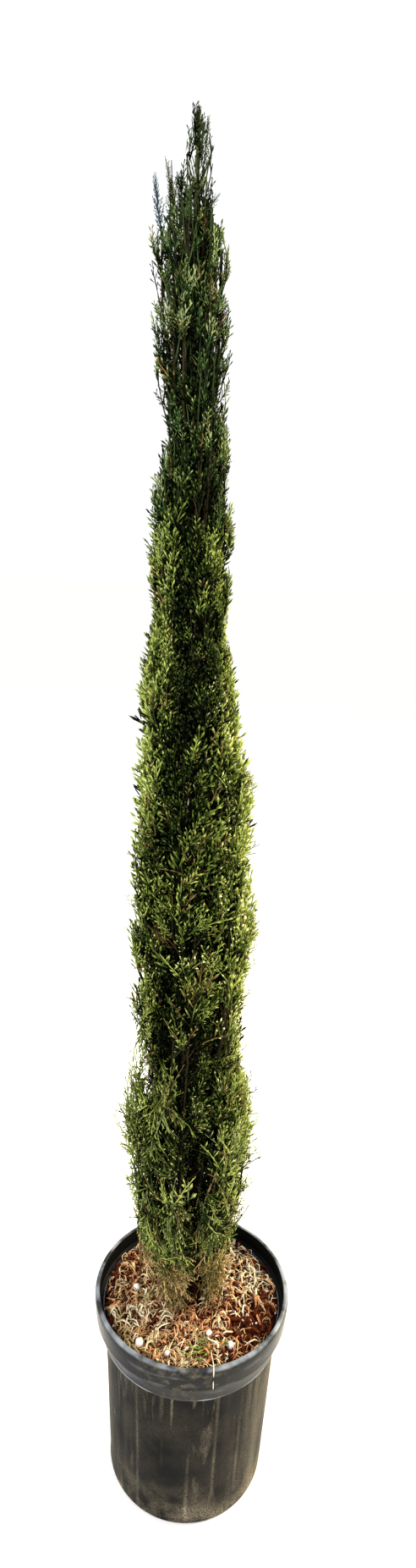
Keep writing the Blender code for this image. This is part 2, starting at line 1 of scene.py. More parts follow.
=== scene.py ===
"""Looks of a young Italian cypress in a black nursery pot, in metres, +Z up.

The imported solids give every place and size. The crown's spaces and stems follow
the same rule as the solids, and branches, twigs and sprays grow on from there.
"""
import functools
import math
import random

import bmesh
import bpy
import numpy as np
from bpy.props import FloatProperty, FloatVectorProperty, IntProperty, PointerProperty
from mathutils import Matrix, Vector, noise


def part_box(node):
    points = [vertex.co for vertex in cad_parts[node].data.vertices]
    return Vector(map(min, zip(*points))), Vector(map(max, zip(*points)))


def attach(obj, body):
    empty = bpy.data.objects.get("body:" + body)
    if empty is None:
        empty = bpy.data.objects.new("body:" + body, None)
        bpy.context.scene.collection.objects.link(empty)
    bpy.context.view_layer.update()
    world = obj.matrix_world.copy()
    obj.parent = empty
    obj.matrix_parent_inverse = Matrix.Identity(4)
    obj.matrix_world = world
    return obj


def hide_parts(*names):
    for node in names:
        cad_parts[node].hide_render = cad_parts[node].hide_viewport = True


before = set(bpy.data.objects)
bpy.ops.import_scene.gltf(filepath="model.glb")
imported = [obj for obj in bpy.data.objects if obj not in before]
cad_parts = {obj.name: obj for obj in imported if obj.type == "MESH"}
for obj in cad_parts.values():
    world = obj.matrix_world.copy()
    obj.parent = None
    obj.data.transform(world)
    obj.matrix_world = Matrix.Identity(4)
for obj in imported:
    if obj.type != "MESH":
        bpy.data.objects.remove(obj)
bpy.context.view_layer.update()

bl_info = {
    "name": "Potted Cypress",
    "version": (1, 0, 0),
    "blender": (4, 5, 0),
    "location": "View3D > Sidebar > Cypress",
    "description": "A young Italian cypress in a black nursery pot",
    "category": "Add Mesh",
}

POT_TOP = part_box("nursery_pot")[1]
MIX_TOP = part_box("potting_mix")[1].z
UP = Vector((0, 0, 1))

# Refraction of wood and of waxy leaves, and the faint gloss of matt things
WOOD_IOR = 1.45
LEAF_IOR = 1.42
MATT_GLOSS = 0.06

# How far under the pot's rim the mouth steps in to the wall. Then its flutes: their turn,
# the height where they start, how soon they fade at their ends, and how quick the flanks are
INNER_STEP = 0.025
FLUTE_TURN = math.radians(70)
FLUTES_FROM = 0.008
FLUTE_FADE = 0.006
FLANK_PITCH = 3.2

# Roundings of the pot's section: the mouth, the top of the lip, the lower edges of lip and
# band, and the foot. Then the room between mix and wall, and a height half way down the mix
MOUTH_ROUND = 0.0022
LIP_ROUND = 0.0050
EDGE_ROUND = 0.0014
FOOT_ROUND = 0.0040
MIX_ROOM = 0.0005
MIX_MIDDLE = 0.15

# Trunk: its foot, lean and sway with its half waves, its ends, the root flare and how soon
# it fades, the radii and the power of the taper. Then rings and sides of the trunk's tube,
# and of each bough's
TRUNK_FOOT = (0.0020, 0.0030)
TRUNK_LEAN = (-0.0500, 0.0020)
TRUNK_SWAY = 0.0030
SWAY_WAVES = 2.2
TRUNK_TOP = 1.7000
TREE_TOP = 1.8060
FLARE_RADIUS = 0.0200
FLARE_HEIGHT = 0.0450
FLARE_FADE = 2.6
TRUNK_RADIUS = 0.0122
TRUNK_TIP_RADIUS = 0.0016
TRUNK_TAPER = 0.85
TRUNK_RINGS, TRUNK_SIDES = 230, 22
BOUGH_RINGS, BOUGH_SIDES = 14, 9

# The crown's outline round the trunk: height, reach to -X, reach to +X
OUTLINE = (
    (0.300, 0.052, 0.042), (0.400, 0.081, 0.047), (0.460, 0.090, 0.070), (0.590, 0.105, 0.083),
    (0.695, 0.082, 0.067), (0.740, 0.086, 0.063), (0.830, 0.084, 0.065), (0.885, 0.084, 0.079),
    (0.960, 0.082, 0.067), (1.080, 0.075, 0.074), (1.120, 0.065, 0.056), (1.200, 0.067, 0.050),
    (1.270, 0.050, 0.038), (1.395, 0.056, 0.048), (1.480, 0.036, 0.038), (1.560, 0.049, 0.038),
    (1.640, 0.054, 0.037), (1.735, 0.044, 0.024), (1.775, 0.012, 0.017), (1.806, 0.004, 0.005),
)

# Columns of plumes round the trunk: name, direction in degrees, and the heights
# where each plume's lower cone meets the trunk's axis
COLUMNS = (
    ("left", 178, (0.352, 0.530, 0.850, 1.170, 1.400)),
    ("front_left", -122, (0.352, 0.710, 1.010, 1.290, 1.520)),
    ("front_right", -58, (0.352, 0.580, 0.870, 1.150, 1.430)),
    ("right", 8, (0.352, 0.520, 0.785, 1.000, 1.320)),
    ("back", 90, (0.352, 0.650, 0.950, 1.230, 1.490)),
)
LEADER_LEVEL = 1.680

# The columns' twist in degrees per metre, the height where it starts, and the slopes of the
# cones between the plumes and under the lowest ones
CROWN_TWIST = 58.0
TWIST_FROM = 0.480
CONE_SLOPE = 2.0
FOOT_SLOPE = 0.70

# Plumes that start below this height have a bough, which takes a share of the stem. Then
# the stems' reach against the outline, and the room over their tips
BOUGHS_BELOW = 1.005
BOUGH_SHARE = 0.20
STEM_REACH = 0.66
TIP_ROOM = 0.050

# The valleys between the columns, the reach of sprays and of hanging strands against the
# outline, and how far sprays cross into the spaces above, below and beside their own
VALLEY = 0.04
SPRAY_REACH = 1.06
HANGING_REACH = 1.25
OVERLAP = 0.016
SIDE_OVERLAP = 0.009

# Hanging strands: direction and half width in degrees, greatest reach, the heights
# between which they start, the lowest end, and how many. Then the number of skirt plumes
# for which they stand
CURTAINS = (
    (-176, 26, 0.046, 0.375, 0.430, 0.294, 44), (-3, 26, 0.046, 0.375, 0.430, 0.294, 44),
    (95, 50, 0.048, 0.370, 0.420, 0.294, 34), (-132, 15, 0.056, 0.390, 0.470, 0.290, 60),
    (-54, 12, 0.054, 0.390, 0.470, 0.290, 46), (-155, 60, 0.092, 0.400, 0.540, 0.372, 84),
    (178, 44, 0.086, 0.450, 0.610, 0.400, 60), (178, 44, 0.080, 0.690, 0.830, 0.640, 40),
    (10, 44, 0.062, 0.690, 0.830, 0.640, 30), (-25, 60, 0.084, 0.400, 0.540, 0.372, 66),
    (90, 60, 0.085, 0.400, 0.480, 0.380, 40),
)
SKIRTS = 3

# How a strand hangs: its points, the width of its waves, and the limits of how far in it
# ends, of its swing and of its turn. One that ends close over the mix spreads there: how
# close, how far, and from which share of its length on. Low ends are dry
STRAND_POINTS = 8
STRAND_WAVE = 0.0050
STRAND_BENDS = ((0.55, 0.95), (0.4, 1.6), (-0.5, 0.5))
SPREAD_UNDER = 0.020
SPREAD_REACH = 0.016
SPREAD_FROM, SPREAD_RUN = 0.72, 0.28
DRY_UNDER = 0.340

# Gaps in the crown as they are seen from the eye, on the plane y = 0: foot x and z,
# head x and z, half width, and the depth from which each is open at the front,
# or None where it goes right through to the sky
GAPS = (
    (-0.070, 0.630, -0.080, 0.672, 0.0050, None),
    (-0.051, 0.490, -0.042, 0.492, 0.0050, None),
    (-0.090, 1.790, -0.088, 1.712, 0.0150, None),
    (-0.070, 1.790, -0.066, 1.752, 0.0075, None),
    (-0.0165, 1.790, -0.0145, 1.706, 0.0140, None),
    (-0.024, 0.618, -0.010, 0.715, 0.0068, 0.62),
    (0.001, 0.300, -0.008, 0.580, 0.0048, 0.0),
    (0.003, 0.270, -0.001, 0.375, 0.0085, 0.0),
)

# Pinholes to the sky high in the crown: the height where they start, their grain per metre
# across and upward, the grain's levels at the trunk and at the margin above which it is
# open, how far aside the margin lies, and the height from which all is margin
PINHOLES_FROM = 1.38
PINHOLE_GRAIN = (230.0, 150.0)
PINHOLE_LEVELS = (0.36, 0.27)
MARGIN_ASIDE = 0.038
MARGIN_FROM = 1.56

# Patches of painted shade and painted light on the crown's front, on the plane y = 0: x, z, half
# # width, half height, and how many shades lighter. Then how many half widths away they end, and
# # how far back they count
PATCHES = (
    (-0.036, 1.130, 0.026, 0.075, -1.7), (-0.036, 1.010, 0.022, 0.050, -1.2),
    (-0.058, 1.530, 0.016, 0.045, -1.0), (-0.041, 1.310, 0.012, 0.080, -2.0),
    (-0.034, 1.215, 0.016, 0.060, -1.9), (-0.030, 1.400, 0.012, 0.060, -0.8),
    (-0.083, 1.110, 0.014, 0.060, 1.2), (-0.062, 0.735, 0.018, 0.032, -0.7),
    (-0.030, 0.890, 0.022, 0.045, -1.0), (-0.019, 0.775, 0.016, 0.028, -0.7),
    (-0.080, 0.585, 0.028, 0.045, 0.9), (-0.014, 0.560, 0.008, 0.050, -1.0),
    (-0.017, 0.668, 0.014, 0.060, -1.5), (-0.060, 0.690, 0.012, 0.050, -0.8),
)
PATCH_END = 1.7
PATCH_BACK = 0.02

# Single shoots that stand out: the part that has each, foot x and z, head x and z, y,
# spray length, and the greens of body and tips. Then the step between their sprays
SPIRES = (
    ("leader", -0.082, 1.679, -0.0893, 1.726, -0.004, 0.0175, "blue_shoot", "blue_shoot"),
    ("leader", -0.068, 1.695, -0.0775, 1.744, -0.002, 0.013, "dark_green", "olive"),
    ("leader", -0.072, 1.690, -0.0740, 1.728, -0.002, 0.016, "dark_green", "moss_green"),
    ("leader", -0.036, 1.702, -0.0270, 1.716, -0.002, 0.012, "dark_green", "moss_green"),
    ("leader", -0.040, 1.740, -0.0370, 1.781, -0.002, 0.015, "dark_green", "moss_green"),
    ("leader", -0.046, 1.756, -0.0470, 1.7935, 0.000, 0.0140, "dark_green", "moss_green"),
    ("right_high", 0.022, 1.050, 0.0390, 1.079, -0.004, 0.022, "leaf_green", "pale_lit_tip"),
    ("right_high", 0.020, 1.036, 0.0400, 1.062, -0.002, 0.022, "leaf_green", "yellow_green"),
    ("right_high", 0.024, 1.055, 0.0370, 1.088, -0.003, 0.020, "olive", "pale_lit_tip"),
    ("right_low", 0.036, 0.862, 0.0570, 0.889, -0.003, 0.022, "leaf_green", "pale_lit_tip"),
    ("right_low", 0.036, 0.850, 0.0580, 0.873, -0.002, 0.022, "fresh_green", "pale_lit_tip"),
    ("right_low", 0.042, 0.870, 0.0560, 0.897, -0.003, 0.020, "leaf_green", "pale_lit_tip"),
)
SPIRE_STEP = 0.0024

# Share of the twigs that the crown keeps: height, share
DENSITY = ((1.15, 0.95), (1.42, 0.75), (1.50, 0.68), (1.66, 0.62), (1.74, 0.64), (1.80, 0.95))

# Where the crown turns from painted shade inside to lighter greens outside, as a share of its reach:
# height, share
SHADING = ((0.64, 0.43), (0.72, 0.47), (1.20, 0.465), (1.35, 0.475), (1.50, 0.51), (1.66, 0.46))

# How sprays grow: height, upward pull, length against a full one, share of long
# strands, and sideways sweep
FORM = (
    (0.40, 0.45, 1.00, 0.90, 0.40), (0.60, 0.60, 1.00, 0.80, 0.85),
    (0.74, 0.62, 1.00, 0.60, 0.75), (0.84, 0.66, 1.05, 0.25, 0.35),
    (1.00, 0.75, 1.05, 0.06, 0.10), (1.20, 1.05, 0.95, 0.00, 0.00),
    (1.45, 1.10, 0.74, 0.00, 0.00), (1.70, 0.92, 0.60, 0.00, 0.00),
    (1.80, 1.25, 0.52, 0.00, 0.00),
)

# Sprays of a twig: place along it and spread
TWIG_SPRAYS = ((1.0, 0.10), (0.70, 0.50), (0.30, 0.60))

# Spray shapes one unit long: flat feathers, long thin strands and close tails. Their
# numbers, first seed, shoots, rings of the spine, its radius, length and width of the
# shoots, curl, and whether shoots stand all round
FEATHERS = range(0, 6)
STRANDS = range(6, 10)
TAILS = range(10, 14)
SPRAY_KINDS = (
    (FEATHERS, 0, 7, 3, 0.032, 0.48, 0.076, 0.30, False),
    (STRANDS, 20, 8, 5, 0.020, 0.32, 0.042, 0.50, False),
    (TAILS, 40, 8, 3, 0.032, 0.33, 0.064, 0.16, True),
)

# The turn from one shoot to the next round a stem, in radians
SHOOT_TURN = 2.4

# Numbers of the barks, and where branches and twigs are green: from which height on, and
# how far out. Then the share of green twigs lower down, and of bleached ones low on the
# crown and at the front round a height
BROWN, BLEACHED, GREEN, DRY = range(4)
GREEN_BRANCHES_FROM = 1.40
GREEN_BRANCHES_OUT = 0.25
GREEN_TWIGS_FROM = 1.50
GREEN_TWIGS_OUT = 0.55
GREEN_TWIG_SHARE = 0.6
LOW_BARE_SHARE = 0.10
LOW_BARE_UNDER = 0.62
FRONT_BARE_SHARE = 0.75
FRONT_BARE_HEIGHT = 1.09
FRONT_BARE_SPREAD = 0.07

# Branches and twigs: lengths, how much shorter a branch is at its stem's tip, what is left
# of it at each try to fit it in, shares of the reach that branches fill, turns of the twigs
# off their branch, and points along a stem. Then the share of branches that hang from the
# lowest plumes, the leader's spacing of branches, and chance in a branch's tone
BRANCH_LENGTHS = (0.060, 0.120)
BRANCH_TAPER = 0.35
BRANCH_SHRINK = 0.86
SHORTEST_BRANCH = 0.010
BRANCH_FILL = (0.78, 0.97)
TWIG_LENGTHS = (0.008, 0.018)
SHORTEST_TWIG = 0.003
TWIG_TURNS = (0.30, 0.80)
STEM_POINTS = 10
HANGING_SHARE = 0.32
LEADER_SPACING = 0.36
TONE_CHANCE = 0.65

# Sprays: sizes that are tried in turn, their spread, where the middle lies and how far out
# its flanks are against the length, and sizes of those that hang and those inside the crown
SPRAY_TRIES = (1.0, 0.8, 0.62, 0.46)
SPRAY_SPREAD = (0.72, 1.15)
SPRAY_MIDDLE = 0.62
SPRAY_FLANK = 0.26
HANGING_SIZE = 0.86
INSIDE_SIZE = 1.4
INSIDE_DEPTH = 0.45
TAILS_FROM = 0.9
TAILS_RISE = 0.7

# Painted shade of the sprays: shades darker per share of the reach inward, painted shade on the
# # columns' sides between them, streaks of painted shade and light with their grain per metre, and
# chance
SHADE_SLOPE = 6.8
SIDE_SHADE = 0.6
STREAK = 2.7
STREAK_GRAIN = (75, 75, 26)
SHADE_CHANCE = 0.70

# The sunny side, where yellow and pale tips are painted sunlight as well as fresh growth: its
# direction,
# # the height where it ends, how it sets in, and its tips. Then the shares of bright tips, partly
# painted
# # light, olive sprays and dead sprays elsewhere
SUN_TURN = 0.10
SUN_TOP = 1.34
SUN_START = 0.18
SUNNY_TIPS = ("yellow_green", "yellow_green", "pale_lit_tip")
BRIGHT_SHARE = 0.06
OLIVE_SHARE = 0.20
DEAD_SHARE = 0.005

# Stems in a plume's space: share of the reach, share of the half width, spacing of the
# branches, and how soon the stem turns upright
STEM_WAYS = (
    (1.00, 0.0, 1.2, 1.7), (0.80, 0.58, 1.8, 1.7), (0.80, -0.58, 1.8, 1.7), (0.34, 0.0, 1.9, 1.7),
    (1.24, 0.30, 2.0, 4.0), (1.24, -0.30, 2.0, 4.0),
)

# Parts of the mix: x, y, radius, and the weights of bark, tan, pale, orange and mossy wood.
# Then the patch with few fibres, the large white grains, the ring that is strewn, and how
# far out fibres and fallen sprays may reach
MIX_REGIONS = (
    (-0.075, -0.045, 0.050, (1, 4, 3, 1, 4)), (-0.005, -0.085, 0.045, (2, 3, 3, 6, 1)),
    (0.098, -0.043, 0.040, (9, 1, 0.4, 2, 0)), (0.060, -0.085, 0.035, (5, 2, 2, 2, 0)),
    (0.085, 0.050, 0.050, (2, 3, 6, 1, 0)), (-0.100, 0.045, 0.050, (5, 3, 2, 1, 1)),
    (0.040, -0.020, 0.035, (4, 3, 2, 2, 0)),
)
BARE_PATCH = (0.098, -0.043, 0.040)
LARGE_GRAINS = (
    (-0.082, 0.003, 0.0115), (-0.070, -0.087, 0.0125), (0.027, -0.068, 0.0095),
    (0.058, -0.084, 0.0105), (-0.030, -0.100, 0.0080),
)
LITTER_RING = (0.022, 0.1270)
MIX_REACH = 0.1285
SPRAY_EDGE = 0.126
LITTER_SEED = 11

# Greens of the fallen sprays, and by their numbers those of the dry sprays and the sprig:
# inside, body and tips
FALLEN_GREENS = ("olive", "straw", "leaf_green", "yellow_green")
DRY_SPRAYS = ((0, 0, 1), (0, 1, 1), (1, 1, 1))
SPRIG_GREENS = (0, 2, 3)

# The green sprig on the mix: its foot, and the turn and length of each spray
SPRIG_FOOT = (0.036, -0.090)
SPRIG = ((196, 0.044), (174, 0.036), (216, 0.034), (152, 0.028), (20, 0.020))

# The straw that hangs over the lip
STRAW = (
    (0.030, -0.088, 0.2950), (0.031, -0.105, 0.2990), (0.033, -0.125, 0.3110),
    (0.0335, -0.1315, 0.3138), (0.0340, -0.1375, 0.3118), (0.0342, -0.1392, 0.3050),
    (0.0343, -0.1390, 0.2920), (0.0345, -0.1382, 0.2810),
)

# Camera, from the photograph's own perspective: the eye, the turns, and the focal length
# in pixels of a picture of this height
EYE = Vector((0.0, -1.037, 1.365))
CAMERA_PITCH = math.radians(15.36)
CAMERA_YAW = math.radians(-0.438)
CAMERA_ROLL = math.radians(2.444)
FOCAL_PIXELS = 1020.0
IMAGE_HEIGHT = 1853.0
SENSOR = 36.0

# Soft lights: where they are and the point that they face
KEY_PLACE = Vector((-1.2, -1.9, 2.4))
RIM_PLACE = Vector((2.2, 0.9, 1.5))
LIT_POINT = Vector((0, 0, 0.9))

# Greens of the crown, and what each is. The shade green, and the dark green where it is dealt inside,
# are painted shade for the inner foliage
GREENS = (
    ("shade_green", "#040802", "Old foliage in the shaded middle"),
    ("dark_green", "#222c0d", "Inner foliage"),
    ("blue_green", "#36502a", "Outer foliage near the top"),
    ("moss_green", "#5a6b34", "Tips near the top"),
    ("silver_green", "#909d68", "Lit tips near the top"),
    ("mid_green", "#4f5e24", "Outer foliage"),
    ("leaf_green", "#718038", "Young foliage"),
    ("fresh_green", "#9eab56", "This year's tips"),
    ("yellow_green", "#b8bd60", "Tips on the sunny side"),
    ("pale_lit_tip", "#ece8b2", "Bleached tips"),
    ("sage_green", "#838e56", "Foliage low on the crown"),
    ("olive", "#736338", "Hanging foliage under the crown"),
    ("straw", "#c6a874", "Dry hanging foliage"),
    ("blue_shoot", "#3a545e", "The waxy shoot by the leader"),
    ("rust", "#4d3422", "Dead sprays"),
)
GREEN_NUMBER = {row[0]: i for i, row in enumerate(GREENS)}

# Where each set of greens starts, and its greens from the middle out to the tips, from painted shade
# inside to the lightest tips
GREEN_SETS = (
    (1.40, ("shade_green", "dark_green", "blue_green", "moss_green", "silver_green")),
    (0.64, ("shade_green", "dark_green", "mid_green", "leaf_green", "fresh_green")),
    (0.370, ("shade_green", "dark_green", "mid_green", "sage_green", "fresh_green")),
    (-1.0, ("dark_green", "olive", "olive", "straw", "straw")),
)


def linear(hex_colour):
    """An sRGB hex colour as linear red, green and blue."""
    channels = [int(hex_colour[i : i + 2], 16) / 255 for i in (1, 3, 5)]
    return [c / 12.92 if c <= 0.04045 else ((c + 0.055) / 1.055) ** 2.4 for c in channels]


def metres(name, description, default):
    """A length setting."""
    return FloatProperty(
        name=name, description=description, default=default, min=0.0, precision=4, unit="LENGTH"
    )


def tint(name, description, hex_colour):
    """A colour setting, from an sRGB hex colour."""
    return FloatVectorProperty(
        name=name,
        description=description,
        default=linear(hex_colour),
        min=0.0,
        max=1.0,
        size=3,
        subtype="COLOR",
    )


def whole(name, description, default):
    """A whole number setting."""
    return IntProperty(name=name, description=description, default=default, min=0)


class PotSettings(bpy.types.PropertyGroup):
    """Measures and colours of the pot"""

    height: metres("Height", "Floor to the top of the lip", POT_TOP.z)
    lip_radius: metres("Lip radius", "Outside of the rolled lip", POT_TOP.x - 0.0006)
    lip_depth: metres("Lip depth", "Height of the rolled lip", 0.036)
    lip_inner_radius: metres("Mouth radius", "Inside of the lip", 0.1350)
    band_radius: metres("Band radius", "Outside of the band under the lip", 0.1322)
    band_depth: metres("Band depth", "Height of the band under the lip", 0.0270)
    wall_top_radius: metres("Wall top radius", "Wall's radius at the lip", 0.1285)
    base_radius: metres("Base radius", "Wall's radius at the floor", 0.1165)
    wall: metres("Wall thickness", "Thickness of the wall", 0.0030)
    floor: metres("Floor thickness", "Thickness of the floor", 0.0035)
    flutes: whole("Flutes", "Upright panels round the wall", 10)
    flute_depth: metres("Flute depth", "How far each panel is sunk", 0.0011)
    drain_holes: whole("Drain holes", "Holes through the floor", 5)
    drain_radius: metres("Drain hole radius", "Radius of each hole", 0.0075)
    drain_circle: metres("Drain circle", "Radius of the circle of holes", 0.085)
    plastic: tint("Plastic", "Moulded polythene", "#0b0b0b")
    # Mud and lime on the wall, which also serves as the painted sheen toward its left and right sides
    dust_and_sheen: tint("Dust", "Dried mud and lime on the wall", "#a89c84")
    # The pale bluish grey of the painted highlight on the lip's bead and the band's lower edge
    highlighted: tint("Rubbed", "Polythene where the lip is rubbed", "#9ba1a8")


class MixSettings(bpy.types.PropertyGroup):
    """Measures, numbers and colours of what lies in the pot"""

    level: metres("Level", "Height of the mix at the trunk", MIX_TOP)
    edge_drop: metres("Edge drop", "How much lower it lies at the wall", 0.007)
    flat_radius: metres("Flat radius", "Level part round the trunk", 0.030)
    lump: metres("Lumps", "Height of the lumps", 0.0045)
    chips: whole("Bark chips", "Pieces of bark on the mix", 1300)
    shreds: whole("Wood shreds", "Flat shreds of wood on the mix", 480)
    fibres: whole("Fibres", "Loose fibres on the mix", 1300)
    curls: whole("Curls", "Thick curls of wood on the mix", 720)
    perlite: whole("Perlite", "White grains on the mix", 120)
    clippings: whole("Clippings", "Dry sprays that fell on the mix", 120)
    peat: tint("Peat", "Dark peat and bark fines", "#2a0c03")
    bark_chip: tint("Bark chip", "Red-brown bark", "#562512")
    mossy_wood: tint("Mossy wood", "Wood tinged with moss", "#b8a270")
    tan_wood: tint("Tan wood", "Weathered wood shreds", "#f3ba88")
    pale_wood: tint("Pale wood", "Bleached fibres", "#ffe6c0")
    orange_wood: tint("Orange wood", "Fresh wood fibres", "#cf8a5c")
    white_grain: tint("White grain", "Expanded perlite", "#f4f1ea")


class LimbSettings(bpy.types.PropertyGroup):
    """Radii and colours of trunk, boughs and twigs"""

    bough_radius: metres("Bough radius", "Where a bough leaves the trunk", 0.0042)
    stem_radius: metres("Stem radius", "Foot of a plume's stem", 0.0026)
    branch_radius: metres("Branch radius", "Foot of a branch", 0.0013)
    twig_radius: metres("Twig radius", "Foot of a twig", 0.0008)
    ridge: metres("Bark ridges", "Height of the bark's fibrous ridges", 0.0012)
    bark: tint("Bark", "Red-brown fibrous bark", "#2a130c")
    bark_furrow: tint("Bark furrows", "Between the ridges", "#0f0503")
    twig_bark: tint("Twig bark", "Young brown bark", "#2b2316")
    pale_twig: tint("Pale twig", "Bare dry twigs", "#b5ab86")
    green_twig: tint("Green twig", "Young shoots", "#364223")
    dry_strand: tint("Dry strand", "Thin hanging strands", "#9c8a58")


class FoliageSettings(bpy.types.PropertyGroup):
    """Spacing and size of the sprays, and their greens"""

    seed: whole("Seed", "Start of the growth's random numbers", 7)
    branch_spacing: metres("Branch spacing", "Along a plume's stem", 0.0166)
    twig_spacing: metres("Twig spacing", "Along a branch", 0.0146)
    spray: metres("Spray length", "A full-grown spray", 0.049)
    strand: metres("Strand length", "A long thin spray low on the crown", 0.064)


for key, hex_colour, use in GREENS:
    FoliageSettings.__annotations__[key] = tint(key.replace("_", " ").capitalize(), use, hex_colour)


class StageSettings(bpy.types.PropertyGroup):
    """Floor, surroundings and lights"""

    floor_radius: metres("Floor radius", "Radius of the pale floor", 30.0)
    floor_colour: tint("Floor", "Matt white paint", "#fbfaf8")
    sky_colour: tint("Surroundings", "White studio walls", "#ffffff")
    sky_strength: FloatProperty(name="Surroundings light", description="Strength", default=1.05)
    key_power: FloatProperty(
        name="Key light", description="Soft light from the front left", default=66.0, unit="POWER"
    )
    rim_power: FloatProperty(
        name="Rim light", description="Warm light from the back right", default=140.0, unit="POWER"
    )
    rim_colour: tint("Rim colour", "Low warm sunlight", "#fff0c8")


# Nodes and materials


def set_inputs(tree, node, inputs):
    """Set a node's inputs. Each is a value, a socket, or a node's first output."""
    for key, value in inputs.items():
        if isinstance(value, bpy.types.Node):
            value = value.outputs[0]
        if isinstance(value, bpy.types.NodeSocket):
            tree.links.new(value, node.inputs[key])
        else:
            node.inputs[key].default_value = value


def add_node(tree, kind, inputs=None, **settings):
    """Add a node with its inputs and settings."""
    made = tree.nodes.new("ShaderNode" + kind)
    for name, value in settings.items():
        setattr(made, name, value)
    set_inputs(tree, made, inputs or {})
    return made


def rgba(colour):
    """A colour with full opacity."""
    return (*colour, 1.0)


def new_material(name, roughness, ior, gloss, colour=None):
    """A material with its Principled shader: the material, its tree and the shader."""
    made = bpy.data.materials.new(name)
    made.use_nodes = True
    shader = made.node_tree.nodes["Principled BSDF"]
    values = {"Roughness": roughness, "IOR": ior, "Specular IOR Level": gloss}
    if colour is not None:
        made.diffuse_color = values["Base Color"] = rgba(colour)
    set_inputs(made.node_tree, shader, values)
    return made, made.node_tree, shader


def mottle(tree, where, scale, low, high, detail=4.0, stretch=(1, 1, 1), least=0.0, most=1.0):
    """Patches of a grain: its noise, and its mask between two thresholds."""
    drawn = add_node(tree, "Mapping", {"Vector": where, "Scale": stretch})
    grain = add_node(tree, "TexNoise", {"Vector": drawn, "Scale": scale, "Detail": detail})
    return grain, add_node(tree, "MapRange", {0: grain, 1: low, 2: high, 3: least, 4: most})


